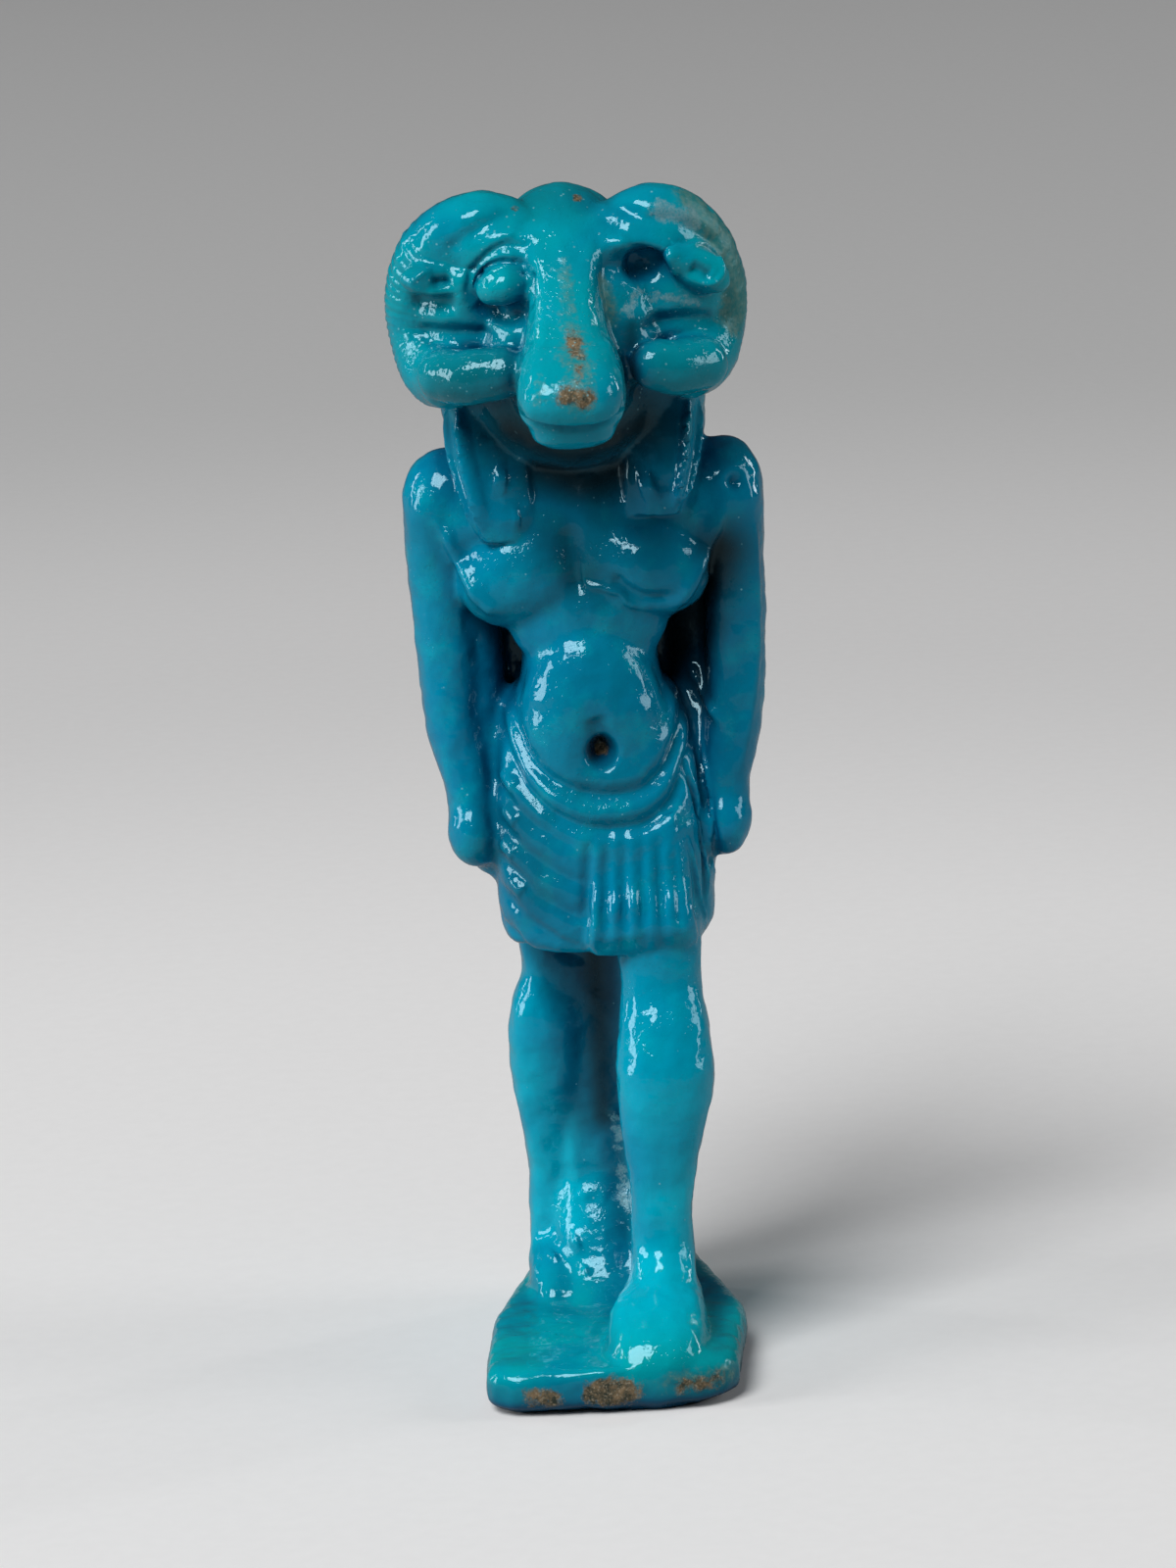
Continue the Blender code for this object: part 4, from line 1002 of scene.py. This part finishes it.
    pores = n.node("ShaderNodeTexVoronoi", {"Vector": place, "Scale": 3800.0}, feature="F1")
    pits = n.ramp(pores, 0.05, 0.28)
    sparse = n.math("MAXIMUM", n.ramp(middle, 0.52, 0.68), n.ramp(level, *HEAD_PORES, 0.0, 0.7))
    pit_height = n.math("MULTIPLY", n.math("SUBTRACT", pits, 1.0), sparse)
    bubbles = n.node("ShaderNodeTexVoronoi", {"Vector": place, "Scale": 6000.0}, feature="F1")
    bubbles = n.math("MULTIPLY", n.ramp(bubbles, 0.24, 0.08), n.ramp(broad, 0.42, 0.62))
    swell = n.noise(place, 1100.0, 2.0, 0.35)
    ripple = n.noise(place, 3600.0, 1.0, 0.4)
    crackle = n.node("ShaderNodeTexVoronoi", {"Vector": place, "Scale": 3100.0}, feature="DISTANCE_TO_EDGE")
    crackle = n.math("MULTIPLY", n.ramp(crackle, 0.06, 0.0), n.ramp(middle, 0.45, 0.6))
    height = n.math("ADD", n.math("MULTIPLY", swell, 12.0), n.math("MULTIPLY", ripple, 2.2))
    height = n.math("ADD", height, n.math("MULTIPLY", pit_height, 2.4))
    height = n.math("ADD", height, n.math("MULTIPLY", bubbles, 1.5))
    height = n.math("SUBTRACT", height, n.math("MULTIPLY", crackle, 0.35))
    wild = n.math("ADD", worn, n.math("ADD", crust, n.math("ADD", powder_and_sheen, matte)))
    height = n.math("ADD", height, n.math("MULTIPLY", n.math("MULTIPLY", grain, wild), 1.6))
    bump = n.node("ShaderNodeBump", {"Strength": 1.0, "Distance": GLAZE_RELIEF, "Height": height})
    n.put(bump, n.shader.inputs["Normal"])
    n.shader.inputs["IOR"].default_value = GLAZE_IOR
    n.shader.inputs["Specular Tint"].default_value = GLAZE_TINT
    return n.material


def floor_material():
    n = Nodes("Pale studio paper")
    place = n.node("ShaderNodeTexCoord", out="Object")
    length = n.node("ShaderNodeVectorMath", {0: place}, out="Value", operation="LENGTH")
    fibres = n.noise(place, 1400.0, 4.0)
    near = n.ramp(fibres, 0.3, 0.7, 0.98, 1.0)
    # Painted light: the paper is paler near the amulet and darker away from it, for the light's falloff
    shade = n.tree.nodes.new("ShaderNodeValToRGB")
    shade.color_ramp.interpolation = "EASE"
    near_end, far_end = shade.color_ramp.elements
    near_end.position, near_end.color = PAINTED_FALLOFF_NEAR
    far_end.position, far_end.color = PAINTED_FALLOFF_FAR
    for distance, grey in PAINTED_FALLOFF_BETWEEN:
        shade.color_ramp.elements.new(distance).color = grey
    n.put(length, shade.inputs[0])
    paper = shade.outputs[0]
    mirrored = n.node("ShaderNodeLightPath", out="Is Glossy Ray")
    bounced = n.node("ShaderNodeLightPath", out="Is Diffuse Ray")
    near = n.math("MULTIPLY", near, n.ramp(mirrored, 0.0, 1.0, 1.0, FLOOR_IN_REFLECTIONS))
    near = n.math("MULTIPLY", near, n.ramp(bounced, 0.0, 1.0, 1.0, FLOOR_IN_BOUNCES))
    paper = n.node("ShaderNodeVectorMath", {0: paper, 3: near}, operation="SCALE")
    n.put(paper, n.shader.inputs["Base Color"])
    n.shader.inputs["Roughness"].default_value = PAPER_ROUGHNESS
    n.shader.inputs["Specular IOR Level"].default_value = PAPER_GLOSS
    return n.material


def studio_floor():
    """A round sheet of paper that turns up far from the amulet, as a plain backdrop on every side."""
    turn_up = [math.radians(a) for a in range(0, 91, 9)]
    profile = [(radius, 0.0) for radius in (0.03, 0.08, 0.2, 0.4, 0.7)]
    profile += [(0.9 + 0.5 * math.sin(a), 0.5 - 0.5 * math.cos(a)) for a in turn_up]
    profile.append((1.4, 1.3))
    turns = 96
    clay = bmesh.new()
    loops = []
    for radius, z in profile:
        loops.append([
            clay.verts.new((
                radius * math.cos(2 * math.pi * i / turns), radius * math.sin(2 * math.pi * i / turns), z,
            ))
            for i in range(turns)
        ])
    centre = clay.verts.new((0.0, 0.0, 0.0))
    for i in range(turns):
        clay.faces.new((centre, loops[0][i], loops[0][(i + 1) % turns]))
    for low, high in zip(loops, loops[1:]):
        for i in range(turns):
            j = (i + 1) % turns
            clay.faces.new((low[i], high[i], high[j], low[j]))
    mesh = bpy.data.meshes.new("studio_floor")
    clay.to_mesh(mesh)
    clay.free()
    mesh.shade_smooth()
    mesh.materials.append(floor_material())
    floor = new_object("studio_floor", mesh)


def softbox(name, place, width, height, power):
    light = bpy.data.lights.new(name, "AREA")
    light.shape = "RECTANGLE"
    light.size = width
    light.size_y = height
    light.energy = power
    obj = new_object(name, light)
    obj.location = place
    obj.rotation_euler = (Vector(FIGURE_MIDDLE) - Vector(place)).to_track_quat("-Z", "Y").to_euler()
    obj.visible_camera = False


def studio_light():
    for box in SOFTBOXES:
        softbox(*box)
    world = bpy.data.worlds.new("studio")
    world.use_nodes = True
    background = world.node_tree.nodes["Background"]
    background.inputs["Color"].default_value = AMBIENT_COLOUR
    background.inputs["Strength"].default_value = AMBIENT_STRENGTH
    bpy.context.scene.world = world


def camera():
    rise, lean = math.radians(CAMERA_HEIGHT_ANGLE), math.radians(CAMERA_LEAN)
    back = Vector((0.0, -math.cos(rise), math.sin(rise)))
    right = Vector((1.0, 0.0, 0.0))
    up = back.cross(right)
    leaning_right = math.cos(lean) * right - math.sin(lean) * up
    leaning_up = math.sin(lean) * right + math.cos(lean) * up
    across, upwards = CAMERA_SHIFT
    place = Vector(FIGURE_MIDDLE) + CAMERA_DISTANCE * back + across * leaning_right + upwards * leaning_up
    data = bpy.data.cameras.new("camera")
    data.sensor_fit = "VERTICAL"
    data.sensor_height = CAMERA_SENSOR
    data.lens = CAMERA_LENS
    data.clip_start = CAMERA_NEAREST
    obj = new_object("camera", data)
    axes = Matrix((leaning_right, leaning_up, back)).transposed()
    obj.matrix_world = Matrix.Translation(place) @ axes.to_4x4()
    bpy.context.scene.camera = obj


def amulet():
    skin = figure_mesh()
    flat_underside(skin)
    skin = thinned(skin, SKIN_TRIANGLES)
    level_underside(skin)
    without_crumbs(skin)
    skin = bored(skin)
    paint_worn_and_shaded(skin)
    skin.transform(Matrix.Translation((0, 0, PLINTH_THICKNESS)) @ Matrix.Scale(STEP, 4))
    skin.shade_smooth()
    skin.set_sharp_from_angle(angle=math.radians(SHARP_EDGE_ANGLE))
    skin.materials.clear()
    skin.materials.append(glaze())
    obj = new_object("glazed_amulet", skin)
    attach(obj, "root")
    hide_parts("ram_headed_amulet")


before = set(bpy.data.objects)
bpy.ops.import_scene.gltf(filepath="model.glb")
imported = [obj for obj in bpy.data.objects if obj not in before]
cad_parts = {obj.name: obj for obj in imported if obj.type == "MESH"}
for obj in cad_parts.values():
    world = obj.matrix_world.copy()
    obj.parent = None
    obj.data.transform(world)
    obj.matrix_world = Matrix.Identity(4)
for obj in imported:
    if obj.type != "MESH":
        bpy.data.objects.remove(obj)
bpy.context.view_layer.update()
amulet()
studio_floor()
studio_light()
camera()
bpy.context.scene.view_settings.view_transform = "Standard"
